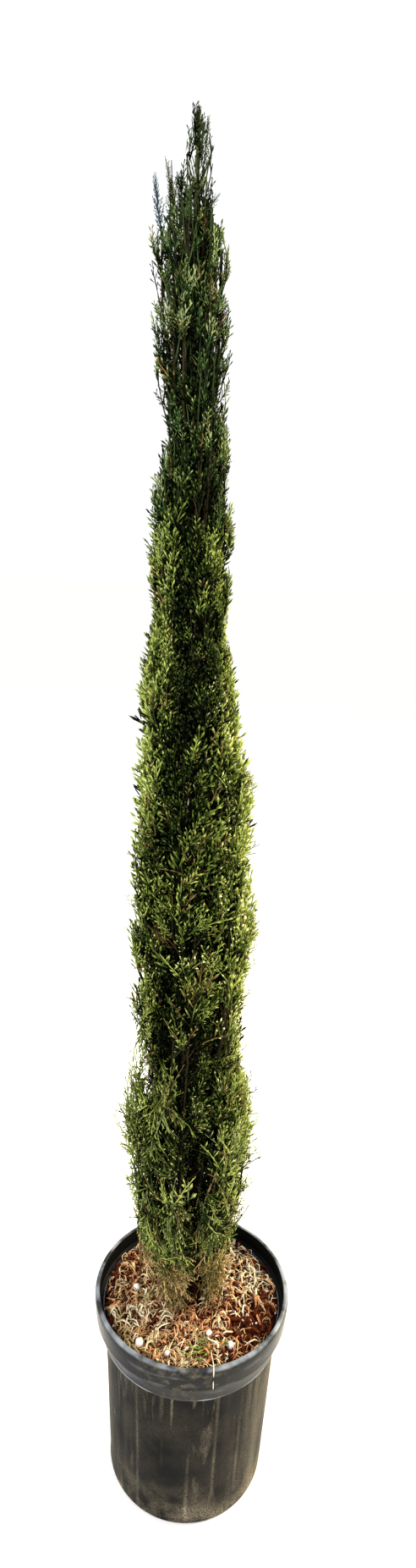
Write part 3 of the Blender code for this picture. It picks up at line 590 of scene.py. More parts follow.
def black_polythene(pot):
    """Moulded black polythene: smooth where the lip is handled, scuffed matt on the wall,
    with dried mud and lime on it and a dusty lip. A painted highlight lies on the lip's
    bead and the band's lower edge, and painted sheen toward the wall's left and right sides."""
    made, tree, shader = new_material("moulded_black_polythene", 0.4, 1.5, 0.5)
    node = functools.partial(add_node, tree)
    where = node("TexCoord").outputs["Object"]
    patches = functools.partial(mottle, tree, where)
    axes = node("SeparateXYZ", {0: where}).outputs
    height = axes["Z"]
    upward = node("SeparateXYZ", {0: node("NewGeometry").outputs["Normal"]}).outputs["Z"]
    angle = node("Math", {0: axes["Y"], 1: axes["X"]}, operation="ARCTAN2")
    top, under_lip = pot.height, pot.height - pot.lip_depth
    under_band = under_lip - pot.band_depth
    # Layers of mud and lime, and of painted sheen at the sides: where they are told by, grain per
    #     metre, stretch, thresholds of the grain, share of the colour, and the values between which
    #     the layer comes in
    wall = (
        # A mottled film, thicker at the foot
        (height, 22.0, (1, 1, 1), 0.35, 0.70, 0.07, -1.0, 0.0),
        (height, 26.0, (1, 1, 1), 0.40, 0.66, 0.55, 0.080, 0.0),
        # Runs of lime about 5 mm wide from the band downward, and long scuffs
        (height, 120.0, (1, 1, 0.08), 0.60, 0.74, 0.55, under_band - 0.070, under_band - 0.004),
        (height, 46.0, (1, 1, 0.25), 0.62, 0.80, 0.40, -1.0, 0.0),
        # Pale streaks towards the left and right sides, in the colour of the mud and lime: painted
        # sheen where the wall turns away
        (axes["X"], 55.0, (1, 1, 0.06), 0.40, 0.62, 0.34, 0.050, 0.115),
        (axes["X"], 55.0, (1, 1, 0.06), 0.42, 0.64, 0.26, -0.060, -0.115),
    )
    lip = (
        # Dust on the front of the bead, and smears on the lip's outer side
        (axes["Y"], 70.0, (1, 1, 1), 0.50, 0.64, 0.24, -0.122, -0.141),
        (height, 75.0, (1, 1, 1.6), 0.62, 0.76, 0.18, under_lip, top - 0.006),
    )
    above = node("MapRange", {0: height, 1: under_band, 2: under_band + 0.001})
    below = node("Math", {0: 1.0, 1: above}, operation="SUBTRACT")
    total = 0.0
    for zone, layers in ((below, wall), (above, lip)):
        for told_by, scale, stretch, low, high, share, first, last in layers:
            _, shape = patches(scale, low, high, stretch=stretch)
            window = node("MapRange", {0: told_by, 1: first, 2: last, 4: share})
            window = node("Math", {0: window, 1: zone}, operation="MULTIPLY")
            total = node("Math", {0: shape, 1: window, 2: total}, operation="MULTIPLY_ADD")
    # The flanks of the flutes are paler here and there
    wave = {0: angle, 1: float(pot.flutes), 2: FLUTE_TURN}
    flank = node("Math", {0: node("Math", wave, operation="MULTIPLY_ADD")}, operation="COSINE")
    flank = node("Math", {0: flank}, operation="ABSOLUTE")
    flank = node("MapRange", {0: flank, 1: 0.30, 2: 0.0})
    _, pale_flanks = patches(34.0, 0.46, 0.72, 5.0, (1, 1, 0.20), most=0.45)
    pale_flanks = node("Math", {0: pale_flanks, 1: below}, operation="MULTIPLY")
    total = node("Math", {0: flank, 1: pale_flanks, 2: total}, operation="MULTIPLY_ADD")
    # Only what faces outward gets mud, lime and painted sheen, in specks of 1 to 2 mm
    flat = node("VectorMath", {0: where, 1: (1, 1, 0)}, operation="MULTIPLY")
    radius = node("VectorMath", {0: flat}, operation="LENGTH").outputs["Value"]
    mouth = pot.lip_inner_radius
    outside = node("MapRange", {0: radius, 1: mouth + 0.0004, 2: mouth + 0.0014})
    under = node("MapRange", {0: height, 1: top - INNER_STEP, 2: top - INNER_STEP - 0.001})
    outside = node("Math", {0: outside, 1: under}, operation="MAXIMUM")
    specks, speckled = patches(620.0, 0.40, 0.60, 3.0, least=0.20)
    mask = node("Math", {0: total, 1: outside}, operation="MULTIPLY")
    mask = node("Math", {0: mask, 1: speckled}, operation="MULTIPLY", use_clamp=True)
    # Painted highlights: a pale bluish grey on the upward bead of the lip, on the band's lower edge,
    # and in streaks of painted sheen round the lip
    _, patchy = patches(30.0, 0.40, 0.62, 3.0, least=0.08)
    bead = node("MapRange", {0: upward, 1: 0.15, 2: 0.75, 4: 0.80})
    edge = node("Math", {0: height, 1: under_band + 0.0010, 2: 0.0012}, operation="COMPARE")
    round_pot = node("CombineXYZ", {0: angle, 1: height})
    _, sheen = mottle(tree, round_pot, 1.0, 0.54, 0.75, 2.0, (2.0, 110.0, 1.0), most=0.24)
    handled = node("Math", {0: above, 1: outside}, operation="MULTIPLY")
    highlighted = bead
    steps = ((edge, "MAXIMUM"), (sheen, "MAXIMUM"), (patchy, "MULTIPLY"), (handled, "MULTIPLY"))
    for other, operation in steps:
        highlighted = node("Math", {0: highlighted, 1: other}, operation=operation)
    # The plastic, then its painted highlight, then mud, lime and painted sheen over it
    colour = rgba(pot.plastic)
    for share, over in ((highlighted, pot.highlighted), (mask, pot.dust_and_sheen)):
        colour = node("Mix", {0: share, 6: colour, 7: rgba(over)}, data_type="RGBA").outputs[2]
    rough = node("MapRange", {0: handled, 3: 0.50, 4: 0.24})
    inputs = {
        "Base Color": colour,
        "Roughness": node("Math", {0: mask, 1: 0.6, 2: rough}, operation="MULTIPLY_ADD"),
        "Specular IOR Level": node("MapRange", {0: handled, 3: 0.045, 4: 0.11}),
        "Normal": node("Bump", {"Height": specks, "Distance": 0.0004, "Strength": 0.4}),
    }
    set_inputs(tree, shader, inputs)
    return made


def grained(name, colour, grain_mm, depth, roughness, spread, stretch=(1, 1, 1), low=None):
    """A matt natural surface whose colour and height follow a grain of a real size."""
    made, tree, shader = new_material(name, roughness, WOOD_IOR, MATT_GLOSS)
    where = add_node(tree, "TexCoord").outputs["Object"]
    grain, mask = mottle(tree, where, 500.0 / grain_mm, 0.32, 0.68, stretch=stretch)
    dark = [c * (1 - spread) ** 2 for c in (low or colour)]
    light = [min(1.0, c * (1 + spread)) for c in colour]
    drawn = add_node(tree, "Mix", {0: mask, 6: rgba(dark), 7: rgba(light)}, data_type="RGBA")
    bump = add_node(tree, "Bump", {"Height": grain, "Distance": depth, "Strength": 0.8})
    set_inputs(tree, shader, {"Base Color": drawn.outputs[2], "Normal": bump})
    return made


def scale_leaves(name, colour):
    """Cypress foliage: cords clad in waxy overlapping scale leaves about 1 mm long,
    drawn at 1.6 mm so that they show. Its colour has a place, so it is plain."""
    made, tree, shader = new_material(name, 0.66, LEAF_IOR, MATT_GLOSS, colour)
    where = add_node(tree, "TexCoord").outputs["Object"]
    scales = add_node(tree, "TexVoronoi", {"Vector": where, "Scale": 620.0})
    rough = add_node(tree, "MapRange", {0: scales, 1: 0.0, 2: 0.8, 3: 0.55, 4: 0.80})
    bump = add_node(tree, "Bump", {"Height": scales, "Distance": 0.0004, "Strength": 0.6})
    set_inputs(tree, shader, {"Roughness": rough, "Normal": bump})
    return made


# Meshes


def into_scene(name, data):
    """A new object in the scene."""
    made = bpy.data.objects.new(name, data)
    bpy.context.scene.collection.objects.link(made)
    return made


def link_object(name, mesh, materials, slot=None, nodes=()):
    """A finished piece on the root body, standing for its CAD nodes."""
    made = into_scene(name, mesh)
    for item in materials:
        mesh.materials.append(item)
    if slot:
        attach(made, "root")
    if nodes:
        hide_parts(*nodes)
    return made


def mesh_from_bmesh(name, bm):
    """A mesh of a bmesh, which it frees."""
    mesh = bpy.data.meshes.new(name)
    bm.to_mesh(mesh)
    bm.free()
    return mesh


def piece_from_bmesh(name, bm, materials, **place):
    """A piece from a bmesh, smooth but for its sharp edges."""
    mesh = mesh_from_bmesh(name, bm)
    mesh.shade_smooth()
    mesh.set_sharp_from_angle(angle=math.radians(40))
    return link_object(name, mesh, materials, **place)


def arrays_of(bm):
    """A small shape's corners and triangles as arrays, which frees the bmesh."""
    bmesh.ops.triangulate(bm, faces=bm.faces)
    bmesh.ops.recalc_face_normals(bm, faces=bm.faces)
    corners = np.array([v.co[:] for v in bm.verts])
    faces = np.array([[v.index for v in f.verts] for f in bm.faces])
    bm.free()
    return corners, faces


def piece_from_arrays(name, groups, materials, **place):
    """A piece of many small things: groups of (corners of each, triangles, materials of each)."""
    corners, faces, numbers, start = [], [], [], 0
    for points, triangles, colours in groups:
        count, size = points.shape[:2]
        corners.append(points.reshape(-1, 3))
        steps = start + size * np.arange(count)
        faces.append((triangles[None] + steps[:, None, None]).reshape(-1, 3))
        colours = np.asarray(colours)
        colours = colours[:, None] if colours.ndim == 1 else colours
        numbers.append(np.broadcast_to(colours, (count, len(triangles))).reshape(-1))
        start += count * size
    corners, faces, numbers = (np.concatenate(rows) for rows in (corners, faces, numbers))
    mesh = bpy.data.meshes.new(name)
    mesh.vertices.add(len(corners))
    mesh.vertices.foreach_set("co", corners.astype(np.float32).ravel())
    mesh.loops.add(faces.size)
    mesh.loops.foreach_set("vertex_index", faces.astype(np.int32).ravel())
    mesh.polygons.add(len(faces))
    mesh.polygons.foreach_set("loop_start", np.arange(0, faces.size, 3, dtype=np.int32))
    mesh.polygons.foreach_set("material_index", numbers.astype(np.int32))
    mesh.update(calc_edges=True)
    mesh.shade_smooth()
    return link_object(name, mesh, materials, **place)


def tube_shape(rings, sides):
    """A capped tube: its corners on a unit circle at heights 0, 1, 2 and so on."""
    bm = bmesh.new()
    bmesh.ops.create_circle(bm, cap_ends=True, segments=sides, radius=1.0)
    face = bm.faces[:][0]
    for ring in range(1, rings):
        made = bmesh.ops.extrude_face_region(bm, geom=[face])["geom"]
        if ring > 1:
            bmesh.ops.delete(bm, geom=[face], context="FACES_ONLY")
        face = next(part for part in made if isinstance(part, bmesh.types.BMFace))
        bmesh.ops.translate(bm, verts=face.verts, vec=UP)
    return arrays_of(bm)


def tubes(paths, radii, sides=3, relief=None):
    """Tapering tubes along paths of equal numbers of points."""
    paths = np.asarray(paths, float)
    radii = np.asarray(radii, float)
    corners, faces = tube_shape(paths.shape[1], sides)
    rings = np.rint(corners[:, 2]).astype(int)
    ahead = np.gradient(paths, axis=1)
    ahead /= np.linalg.norm(ahead, axis=2, keepdims=True) + 1e-12
    steep = abs(ahead[:, :1, 2:]) > 0.9
    helper = np.where(steep, (1.0, 0.0, 0.0), (0.0, 0.0, 1.0))
    side = np.cross(ahead, helper)
    side /= np.linalg.norm(side, axis=2, keepdims=True) + 1e-12
    up = np.cross(ahead, side)
    out = side[:, rings] * corners[:, 0, None] + up[:, rings] * corners[:, 1, None]
    centres = paths[:, rings]
    points = centres + out * radii[:, rings, None]
    if relief is not None:
        points = points + out * relief(centres, out, radii[:, rings])[..., None]
    return points, faces


def tapers(count, points, foot, tip):
    """The same tapering radii for each of a number of tubes."""
    return np.tile(np.linspace(foot, tip, points), (count, 1))


def copies(shape, places, turns, sizes):
    """Copies of one shape: turned by a matrix each, sized and placed."""
    turned = np.einsum("nij,vj->nvi", np.asarray(turns) * np.asarray(sizes)[:, None, None], shape)
    return turned + np.asarray(places)[:, None, :]


def turn_to(direction, facing):
    """The matrix that turns +Z to a direction and +Y towards a facing."""
    side = facing.cross(direction)
    if side.length < 1e-6:
        side = direction.orthogonal()
    side.normalize()
    return np.array(Matrix((side, direction.cross(side), direction)).transposed())


# The crown's rule


def lookup(table, z, column):
    """A table's value at a height, with straight runs between its rows."""
    if z <= table[0][0]:
        return table[0][column]
    for low, high in zip(table, table[1:]):
        if z <= high[0]:
            return mixed(low[column], high[column], (z - low[0]) / (high[0] - low[0]))
    return table[-1][column]


def mixed(low, high, share):
    """A value at a share of the way from low to high."""
    return low + (high - low) * share


def even(count):
    """A number of shares from 0 to 1 in even steps."""
    return [k / (count - 1) for k in range(count)]


def between(first, second, angle):
    """The direction at an angle from the first direction towards the second."""
    return first * math.cos(angle) + second * math.sin(angle)


def clamped(value, low=0.0, high=1.0):
    """A value kept between two limits."""
    return min(max(value, low), high)


def polar(rho, angle, z=0.0):
    """The vector of a length in a direction round Z, with a height."""
    return Vector((rho * math.cos(angle), rho * math.sin(angle), z))


def trunk_axis(z):
    """The point on the trunk's bent axis at a height."""
    share = (z - MIX_TOP) / (TREE_TOP - MIX_TOP)
    sway = TRUNK_SWAY * math.sin(SWAY_WAVES * math.pi * share)
    x = TRUNK_FOOT[0] + TRUNK_LEAN[0] * share + sway
    y = TRUNK_FOOT[1] + TRUNK_LEAN[1] * share - sway * 0.5
    return Vector((x, y, z))


def trunk_radius(z):
    """The trunk's radius at a height, with its root flare."""
    up = z - MIX_TOP
    share = clamped(up / (TRUNK_TOP - MIX_TOP))
    taper = TRUNK_RADIUS + (TRUNK_TIP_RADIUS - TRUNK_RADIUS) * share**TRUNK_TAPER
    return taper + (FLARE_RADIUS - TRUNK_RADIUS) * math.exp(-FLARE_FADE * up / FLARE_HEIGHT)


def outline(z, angle):
    """The crown's reach from the trunk's axis in a direction."""
    left = lookup(OUTLINE, z, 1)
    right = lookup(OUTLINE, z, 2)
    return (left + right) / 2 + (right - left) / 2 * math.cos(angle)


def round_trunk(rho, angle, z):
    """A point at a distance and direction from the trunk's axis."""
    return trunk_axis(z) + polar(rho, angle)


def twist(z):
    """How far the columns have turned round the trunk at a height."""
    return math.radians(CROWN_TWIST) * max(0.0, z - TWIST_FROM)


def make_space(direction, directions, low, high):
    """A sector round the trunk between two cones, as a small record."""
    others = [(other - direction + 180) % 360 - 180 for other in directions]
    foot = COLUMNS[0][2][0]
    return {
        "angle": math.radians(direction),
        "ahead": math.radians(min([d for d in others if d > 0] or [360]) / 2),
        "behind": math.radians(-max([d for d in others if d < 0] or [-360]) / 2),
        "low": low,
        "high": high,
        "low_slope": FOOT_SLOPE if low == foot else CONE_SLOPE,
        "high_slope": FOOT_SLOPE if high == foot else CONE_SLOPE,
    }


def compass(space, z):
    """The directions outward from the trunk and sideways in a space."""
    angle = space["angle"] + twist(z)
    outward = polar(1, angle)
    return outward, Vector((-outward.y, outward.x, 0))


def seen_at(point):
    """Where the eye sees a point on the plane y = 0: its x and z there."""
    share = -EYE.y / (point.y - EYE.y)
    return EYE.x + (point.x - EYE.x) * share, EYE.z + (point.z - EYE.z) * share


def in_pinhole(point):
    """Whether a point lies on the eye's way to the sky through the thin top of the crown."""
    x, z = seen_at(point)
    if z < PINHOLES_FROM:
        return False
    share = max(abs(x - trunk_axis(z).x) / MARGIN_ASIDE, (z - MARGIN_FROM) * 7)
    grain = noise.noise(Vector((x * PINHOLE_GRAIN[0], 0.5, z * PINHOLE_GRAIN[1])))
    return grain > mixed(*PINHOLE_LEVELS, min(1.0, share))


def in_gap(point, depth):
    """Whether a point lies in one of the gaps that are seen from the eye."""
    x, z = seen_at(point)
    for foot_x, foot_z, head_x, head_z, half, open_from in GAPS:
        if not foot_z - half < z < head_z + half and not head_z - half < z < foot_z + half:
            continue
        if open_from is not None and (point.y > 0 or depth < open_from):
            continue
        along_x, along_z = head_x - foot_x, head_z - foot_z
        run = ((x - foot_x) * along_x + (z - foot_z) * along_z) / (along_x**2 + along_z**2)
        run = clamped(run)
        if math.hypot(x - foot_x - along_x * run, z - foot_z - along_z * run) < half:
            return True
    return False


def place_in(point, space):
    """A point's share of the reach and of the half width in its space, or None outside it."""
    if not MIX_TOP + 0.002 < point.z < TREE_TOP - 0.003:
        return None
    axis = trunk_axis(point.z)
    dx, dy = point.x - axis.x, point.y - axis.y
    rho = math.hypot(dx, dy)
    low, high, foot = space["low"], space["high"], COLUMNS[0][2][0]
    if low is not None and point.z < low + space["low_slope"] * rho - OVERLAP * (low > foot):
        return None
    if high is not None and point.z > high + space["high_slope"] * rho + OVERLAP:
        return None
    angle = math.atan2(dy, dx)
    turn = (angle - space["angle"] - twist(point.z) + math.pi) % (2 * math.pi) - math.pi
    half = space["ahead"] if turn > 0 else space["behind"]
    over = abs(turn) - half
    if over > 0 and rho * math.sin(min(over, 1.5)) > SIDE_OVERLAP:
        return None
    aside = min(1.0, abs(turn) / half)
    return rho / (outline(point.z, angle) * (1 - VALLEY * aside**4)), aside


def in_space(point, space, fill=SPRAY_REACH):
    """Whether a point is in a space, within a share of the reach, and in no gap."""
    place = place_in(point, space)
    return place is not None and place[0] < fill and not in_gap(point, place[0])


def plume_path(space):
    """Where a plume's stem runs: its reach, and the heights of its ends."""
    start = space["low"] + 0.018
    reach = 0.040
    for _ in range(4):
        end = space["high"] + space["high_slope"] * reach - TIP_ROOM
        reach = STEM_REACH * outline(end, space["angle"] + twist(end))
    return reach, start, end


def plume_point(space, run, share, power=1.7):
    """A point on a plume's stem, which leaves the trunk and turns upright."""
    reach, start, end = run
    rho = reach * (1 - (1 - share) ** power)
    z = mixed(start, end, share)
    return round_trunk(rho, space["angle"] + twist(z), z)


def path_at(path, share):
    """A point at a share of the path's points."""
    place = clamped(share) * (len(path) - 1)
    i = min(int(place), len(path) - 2)
    return path[i].lerp(path[i + 1], place - i)


def way_at(path, share, reach=0.1):
    """The path's direction at a share of its points."""
    return (path_at(path, share + reach) - path_at(path, share - reach)).normalized()


def path_length(path):
    """The length of a path of points."""
    return sum((b - a).length for a, b in zip(path, path[1:]))


def patch_tone(point):
    """How many shades of painted light the crown gets at a point, or of painted shade where negative,
    by the patches that the eye sees.
    """
    x, z = seen_at(point)
    tone = 0.0
    for patch_x, patch_z, half_x, half_z, shades in PATCHES:
        far = math.hypot((x - patch_x) / half_x, (z - patch_z) / half_z)
        tone += shades * clamped(PATCH_END - far) * (point.y < PATCH_BACK)
    return tone


def spray_greens(point, space, tone, hang, rng):
    """The numbers of a spray's greens: its inside, its body and its tips, dealt by painted shade and
    light.
    """
    depth, aside = place_in(point, space)
    axis = trunk_axis(point.z)
    angle = math.atan2(point.y - axis.y, point.x - axis.x)
    level = point.z + rng.gauss(0, 0.04 if point.z > 0.5 else 0.012) - (0.03 if hang else 0.0)
    greens = next(names for height, names in GREEN_SETS if level > height)
    streak = noise.noise(Vector([at * grain for at, grain in zip(point, STREAK_GRAIN)])) * STREAK
    # Painted shade: darker deeper in the crown and on the columns' sides, with streaks and patches of
    # painted shade and light
    shade = (depth - lookup(SHADING, point.z, 1)) * SHADE_SLOPE - SIDE_SHADE * aside**2
    shade += tone + streak + patch_tone(point)
    body = clamped(int(shade + rng.gauss(0, SHADE_CHANCE)), 0, 4)
    if depth > 0.90:
        body = max(body, 1)
    names = [greens[max(body - 2, 0)], greens[body], greens[min(body + 1, 4)]]
    # Painted sunlight on the sunny side, with the yellower growth there
    sunny = max(0.0, math.cos(angle - SUN_TURN)) ** 2 * clamped((SUN_TOP - point.z) * 5)
    if depth > 0.60 and rng.random() < sunny - SUN_START and not hang:
        names = ["leaf_green", "fresh_green", rng.choice(SUNNY_TIPS)]
    elif body > 1 and point.z < 1.3 and rng.random() < BRIGHT_SHARE:
        names[2] = rng.choice(SUNNY_TIPS[1:])
    elif body > 1 and rng.random() < OLIVE_SHARE:
        names[1] = "olive"
    if rng.random() < DEAD_SHARE:
        names = ["rust"] * 3
    return [GREEN_NUMBER[name] for name in names]


def add_spray(grown, root, direction, facing, space, tone, hang, rng):
    """Add the largest spray from this root that keeps to its space."""
    foliage = grown["foliage"]
    if hang or rng.random() < lookup(FORM, root.z, 3):
        kinds, full = STRANDS, foliage.strand * (HANGING_SIZE if hang else 1.0)
    else:
        kinds = TAILS if rng.random() < (root.z - TAILS_FROM) * TAILS_RISE else FEATHERS
        full = foliage.spray * lookup(FORM, root.z, 2)
    here = place_in(root, space)
    if here and here[0] < INSIDE_DEPTH:
        full *= INSIDE_SIZE
    side = facing.cross(direction).normalized()
    for size in SPRAY_TRIES:
        length = full * size * rng.uniform(*SPRAY_SPREAD)
        tip = root + direction * length
        middle = root + direction * (length * SPRAY_MIDDLE)
        flank = side * (length * SPRAY_FLANK)
        points = (tip, middle + flank, middle - flank, middle)
        seen = (*points, root.lerp(tip, 0.35), root.lerp(tip, 0.82))
        if all(in_space(p, space) for p in points) and not any(map(in_pinhole, seen)):
            greens = spray_greens(middle, space, tone, hang, rng)
            turned = turn_to(direction, facing)
            grown["sprays"].append((rng.choice(kinds), root, turned, length, greens))
            return


def branch_bark(point, depth):
    """A branch's bark: brown, or green high in the crown."""
    high = point.z > GREEN_BRANCHES_FROM and depth > GREEN_BRANCHES_OUT
    return GREEN if high else BROWN


def twig_bark(point, depth, rng):
    """A twig's bark: brown, green high up or far out, or bare and bleached."""
    away = (point.z - FRONT_BARE_HEIGHT) / FRONT_BARE_SPREAD
    bare = FRONT_BARE_SHARE * math.exp(-(away**2)) * (point.y < 0)
    if rng.random() < (LOW_BARE_SHARE if point.z < LOW_BARE_UNDER else bare):
        return BLEACHED
    if point.z > GREEN_TWIGS_FROM:
        return GREEN
    return GREEN if depth > GREEN_TWIGS_OUT and rng.random() < GREEN_TWIG_SHARE else BROWN


def grow_twig(grown, root, ahead, space, tone, hang, rng, length):
    """A twig with a spray at its tip and others along it."""
    outward, sideways = compass(space, root.z)
    pull = -UP if hang else UP + sideways * lookup(FORM, root.z, 4)
    upright = 0.7 if hang else lookup(FORM, root.z, 1)
    tip = root + ahead * length
    while not in_space(tip, space) and length > SHORTEST_TWIG:
        length *= 0.5
        tip = root + ahead * length
    here = place_in(root, space)
    if length > SHORTEST_TWIG + 0.001 and here:
        grown["twigs"].append(((root, tip), DRY if hang else twig_bark(root, here[0], rng)))
    for share, spread in TWIG_SPRAYS:
        aside = between(outward, sideways, rng.uniform(0, 2 * math.pi))
        direction = (ahead + pull * upright + aside * spread + outward * 0.12).normalized()
        facing = outward + sideways * rng.uniform(-0.9, 0.9) + pull * rng.uniform(-0.2, 0.5)
        add_spray(grown, root.lerp(tip, share), direction, facing, space, tone, hang, rng)


def branch_points(root, forward, aside, spread, length):
    """A branch that leaves at an angle and turns towards the stem's own way."""
    points = [root]
    for k in range(4):
        step = between(forward, aside, spread * (1 - 0.2 * k))
        points.append(points[-1] + step * (length / 4))
    return points


def grow_branch(grown, space, stem, share, turn, spread, hang, rng):
    """The longest branch that its space allows here, with its twigs."""
    root = path_at(stem, share)
    outward, sideways = compass(space, root.z)
    forward = way_at(stem, share, 0.05) + sideways * (lookup(FORM, root.z, 4) * 0.7)
    forward = -UP if hang else forward
    aside = between(outward, sideways, turn)
    length = rng.uniform(*BRANCH_LENGTHS) * (1 - BRANCH_TAPER * share)
    fill = rng.uniform(*BRANCH_FILL)
    path = branch_points(root, forward, aside, spread, length)
    while not all(in_space(p, space, fill) for p in path[2:]):
        length *= BRANCH_SHRINK
        if length < SHORTEST_BRANCH:
            return
        path = branch_points(root, forward, aside, spread, length)
    tone = rng.gauss(0, TONE_CHANCE)
    depth, _ = place_in(path[2], space)
    grown["branches"].append((path, DRY if hang else branch_bark(path[2], depth)))
    count = max(2, round(length / grown["foliage"].twig_spacing))
    for k in range(count):
        along = 0.12 + 0.88 * (k + rng.random() * 0.7) / count
        start = path_at(path, along)
        if rng.random() > lookup(DENSITY, start.z, 1):
            continue
        ahead = way_at(path, along)
        across = ahead.cross(outward + sideways * rng.uniform(-0.8, 0.8)).normalized()
        across *= 1 if k % 2 else -1
        way = between(ahead, across, rng.uniform(*TWIG_TURNS)).normalized()
        size = rng.uniform(*TWIG_LENGTHS) * (1 - 0.4 * along)
        grow_twig(grown, start, way, space, tone, hang, rng, size)
    ahead = (path[-1] - path[-2]).normalized()
    grow_twig(grown, path[-1], ahead, space, tone, hang, rng, TWIG_LENGTHS[0])


def grow_plume(grown, space, stem, spacing, hanging, rng):
    """All the branches along one of a plume's stems, a share of them hanging."""
    count = max(5, round(path_length(stem) / grown["foliage"].branch_spacing / spacing))
    for i in range(count):
        share = 0.01 + 0.98 * (i + rng.random()) / count
        turn = SHOOT_TURN * i + rng.uniform(-0.6, 0.6)
        spread = rng.uniform(0.25, 0.85) * (1 - 0.3 * share)
        hang = rng.random() < hanging * (1 - share * 1.2)
        room = dict(space, low=None) if hang else space
        grow_branch(grown, room, stem, share, turn, spread, hang, rng)
    grow_branch(grown, space, stem, 1.0, 0.0, 0.05, False, rng)


def new_growth(foliage):
    """A record of what grows on one part of the crown."""
    kinds = ("stems", "branches", "twigs", "strands", "sprays")
    return {"foliage": foliage, **{kind: [] for kind in kinds}}


def plume_plan(column, number):
    """A plume's space, its path, and the share of the path that its bough takes."""
    _, direction, levels = column
    low = levels[number]
    high = levels[number + 1] if number + 1 < len(levels) else LEADER_LEVEL
    space = make_space(direction, [other[1] for other in COLUMNS], low, high)
    return space, plume_path(space), BOUGH_SHARE if low < BOUGHS_BELOW else 0.0


def grow_column_plume(column, number, grown):
    """One plume of a column: its main stem and the lesser stems inside it."""
    space, run, first = plume_plan(column, number)
    rng = random.Random(f"{column[0]} {number} {grown['foliage'].seed}")
    root = plume_point(space, run, first * 0.9)
    for reach_share, turn_share, spacing, power in STEM_WAYS:
        half = space["ahead"] if turn_share > 0 else space["behind"]
        way = dict(space, angle=space["angle"] + turn_share * half)
        own_run = (run[0] * reach_share, run[1], run[2])
        shares = [mixed(first, 1.0, k) for k in even(STEM_POINTS)]
        stem = [plume_point(way, own_run, share, power) for share in shares]
        stem = [root] + [point for point in stem[1:] if in_space(point, space)]
        if len(stem) < 4:
            continue
        stem = [path_at(stem, k) for k in even(STEM_POINTS)]
        grown["stems"].append((stem, BROWN))
        grow_plume(grown, space, stem, spacing, HANGING_SHARE * (number == 0), rng)


def grow_leader(foliage):
    """The leader: branches on from the trunk's tip."""
    grown = new_growth(foliage)
    space = make_space(-90, (-90,), LEADER_LEVEL - 0.010, None)
    rng = random.Random(f"leader {foliage.seed}")
    tip = TREE_TOP - 0.016
    stem = [trunk_axis(mixed(LEADER_LEVEL, tip, k)) for k in even(STEM_POINTS)]
    grown["stems"].append((stem, BROWN))
    grow_plume(grown, space, stem, LEADER_SPACING, 0.0, rng)
    return grown


def grow_spire(grown, spire):
    """A single shoot, clad closely in small sprays."""
    _, foot_x, foot_z, head_x, head_z, y, size, body, tips = spire
    foot, head = Vector((foot_x, y, foot_z)), Vector((head_x, y, head_z))
    rng = random.Random(f"spire {foot_x} {foot_z}")
    grown["strands"].append(([foot.lerp(head, k) for k in even(6)], GREEN))
    ahead = (head - foot).normalized()
    greens = [GREEN_NUMBER[name] for name in (body, body, tips)]
    count = max(6, round((head - foot).length / SPIRE_STEP))
    for k in range(count):
        share = (k + 1) / count
        direction = (ahead + polar(1, SHOOT_TURN * k) * mixed(0.50, 0.12, share)).normalized()
        length = size * mixed(1.1, 0.75, share)
        turned = turn_to(direction, Vector((rng.uniform(-0.4, 0.4), -1, 0)))
        root = foot.lerp(head, share)
        grown["sprays"].append((rng.choice(TAILS), root, turned, length, greens))


def hanging_path(start, end, rho, angle, inward, swing, turns):
    """A strand that hangs in waves from the crown's foot, and spreads where it meets the mix."""
    path = []
    for share in even(STRAND_POINTS):
        wave = STRAND_WAVE * math.sin(7.0 * swing * share + angle * 9) * share
        away = rho * mixed(1.0, inward, share) + wave
        if end < MIX_TOP + SPREAD_UNDER:
            away += SPREAD_REACH * max(0.0, share - SPREAD_FROM) / SPREAD_RUN
        bend = angle + turns * share**2 + wave * 45
        path.append(round_trunk(away, bend, mixed(start, end, share)))
    return path


def grow_curtains(foliage):
    """Long thin strands with sprays that hang from the crown's foot, some down to the mix."""
    grown = new_growth(foliage)
    for i, (direction, half, reach, first, last, lowest, count) in enumerate(CURTAINS):
        space = make_space(direction, (direction,), None, None)
        space["ahead"] = space["behind"] = math.radians(half * 1.3)
        rng = random.Random(f"curtain {i} {foliage.seed}")
        for _ in range(count):
            angle = math.radians(direction + rng.uniform(-1, 1) * half)
            rho = reach * mixed(0.5, 1.0, rng.random() ** 0.8)
            start = rng.uniform(first, last)
            end = mixed(lowest, start - 0.03, rng.random() ** 1.6)
            bends = [rng.uniform(*limits) for limits in STRAND_BENDS]
            path = hanging_path(start, end, rho, angle, *bends)
            if not all(in_space(point, space, HANGING_REACH) for point in path[1:]):
                continue
            grown["strands"].append((path, DRY if end < DRY_UNDER else GREEN))
            tone = rng.gauss(0.5, 0.9)
            for k in range(5):
                share = (k + rng.random()) / 5
                root = path_at(path, share)
                aside = Vector((rng.gauss(0, 1), rng.gauss(0, 1), 0)) * 0.5
                way = (way_at(path, share) + aside).normalized()
                facing = root - trunk_axis(root.z)
                add_spray(grown, root, way, facing, space, tone, True, rng)
    return grown


# Shapes of the sprays


def spindle_shape():
    """A shoot clad in scale leaves: a three-sided spindle one unit long and wide."""
    bm = bmesh.new()
    bmesh.ops.create_cone(
        bm, cap_ends=True, cap_tris=True, segments=3, radius1=0.5, radius2=0.0, depth=1.0
    )
    bmesh.ops.remove_doubles(bm, verts=bm.verts, dist=0.0001)
    for vert in bm.verts:
        rim = vert.co.xy.length > 0.1
        vert.co.z = 0.70 if rim else float(vert.co.z > 0)
    return arrays_of(bm)


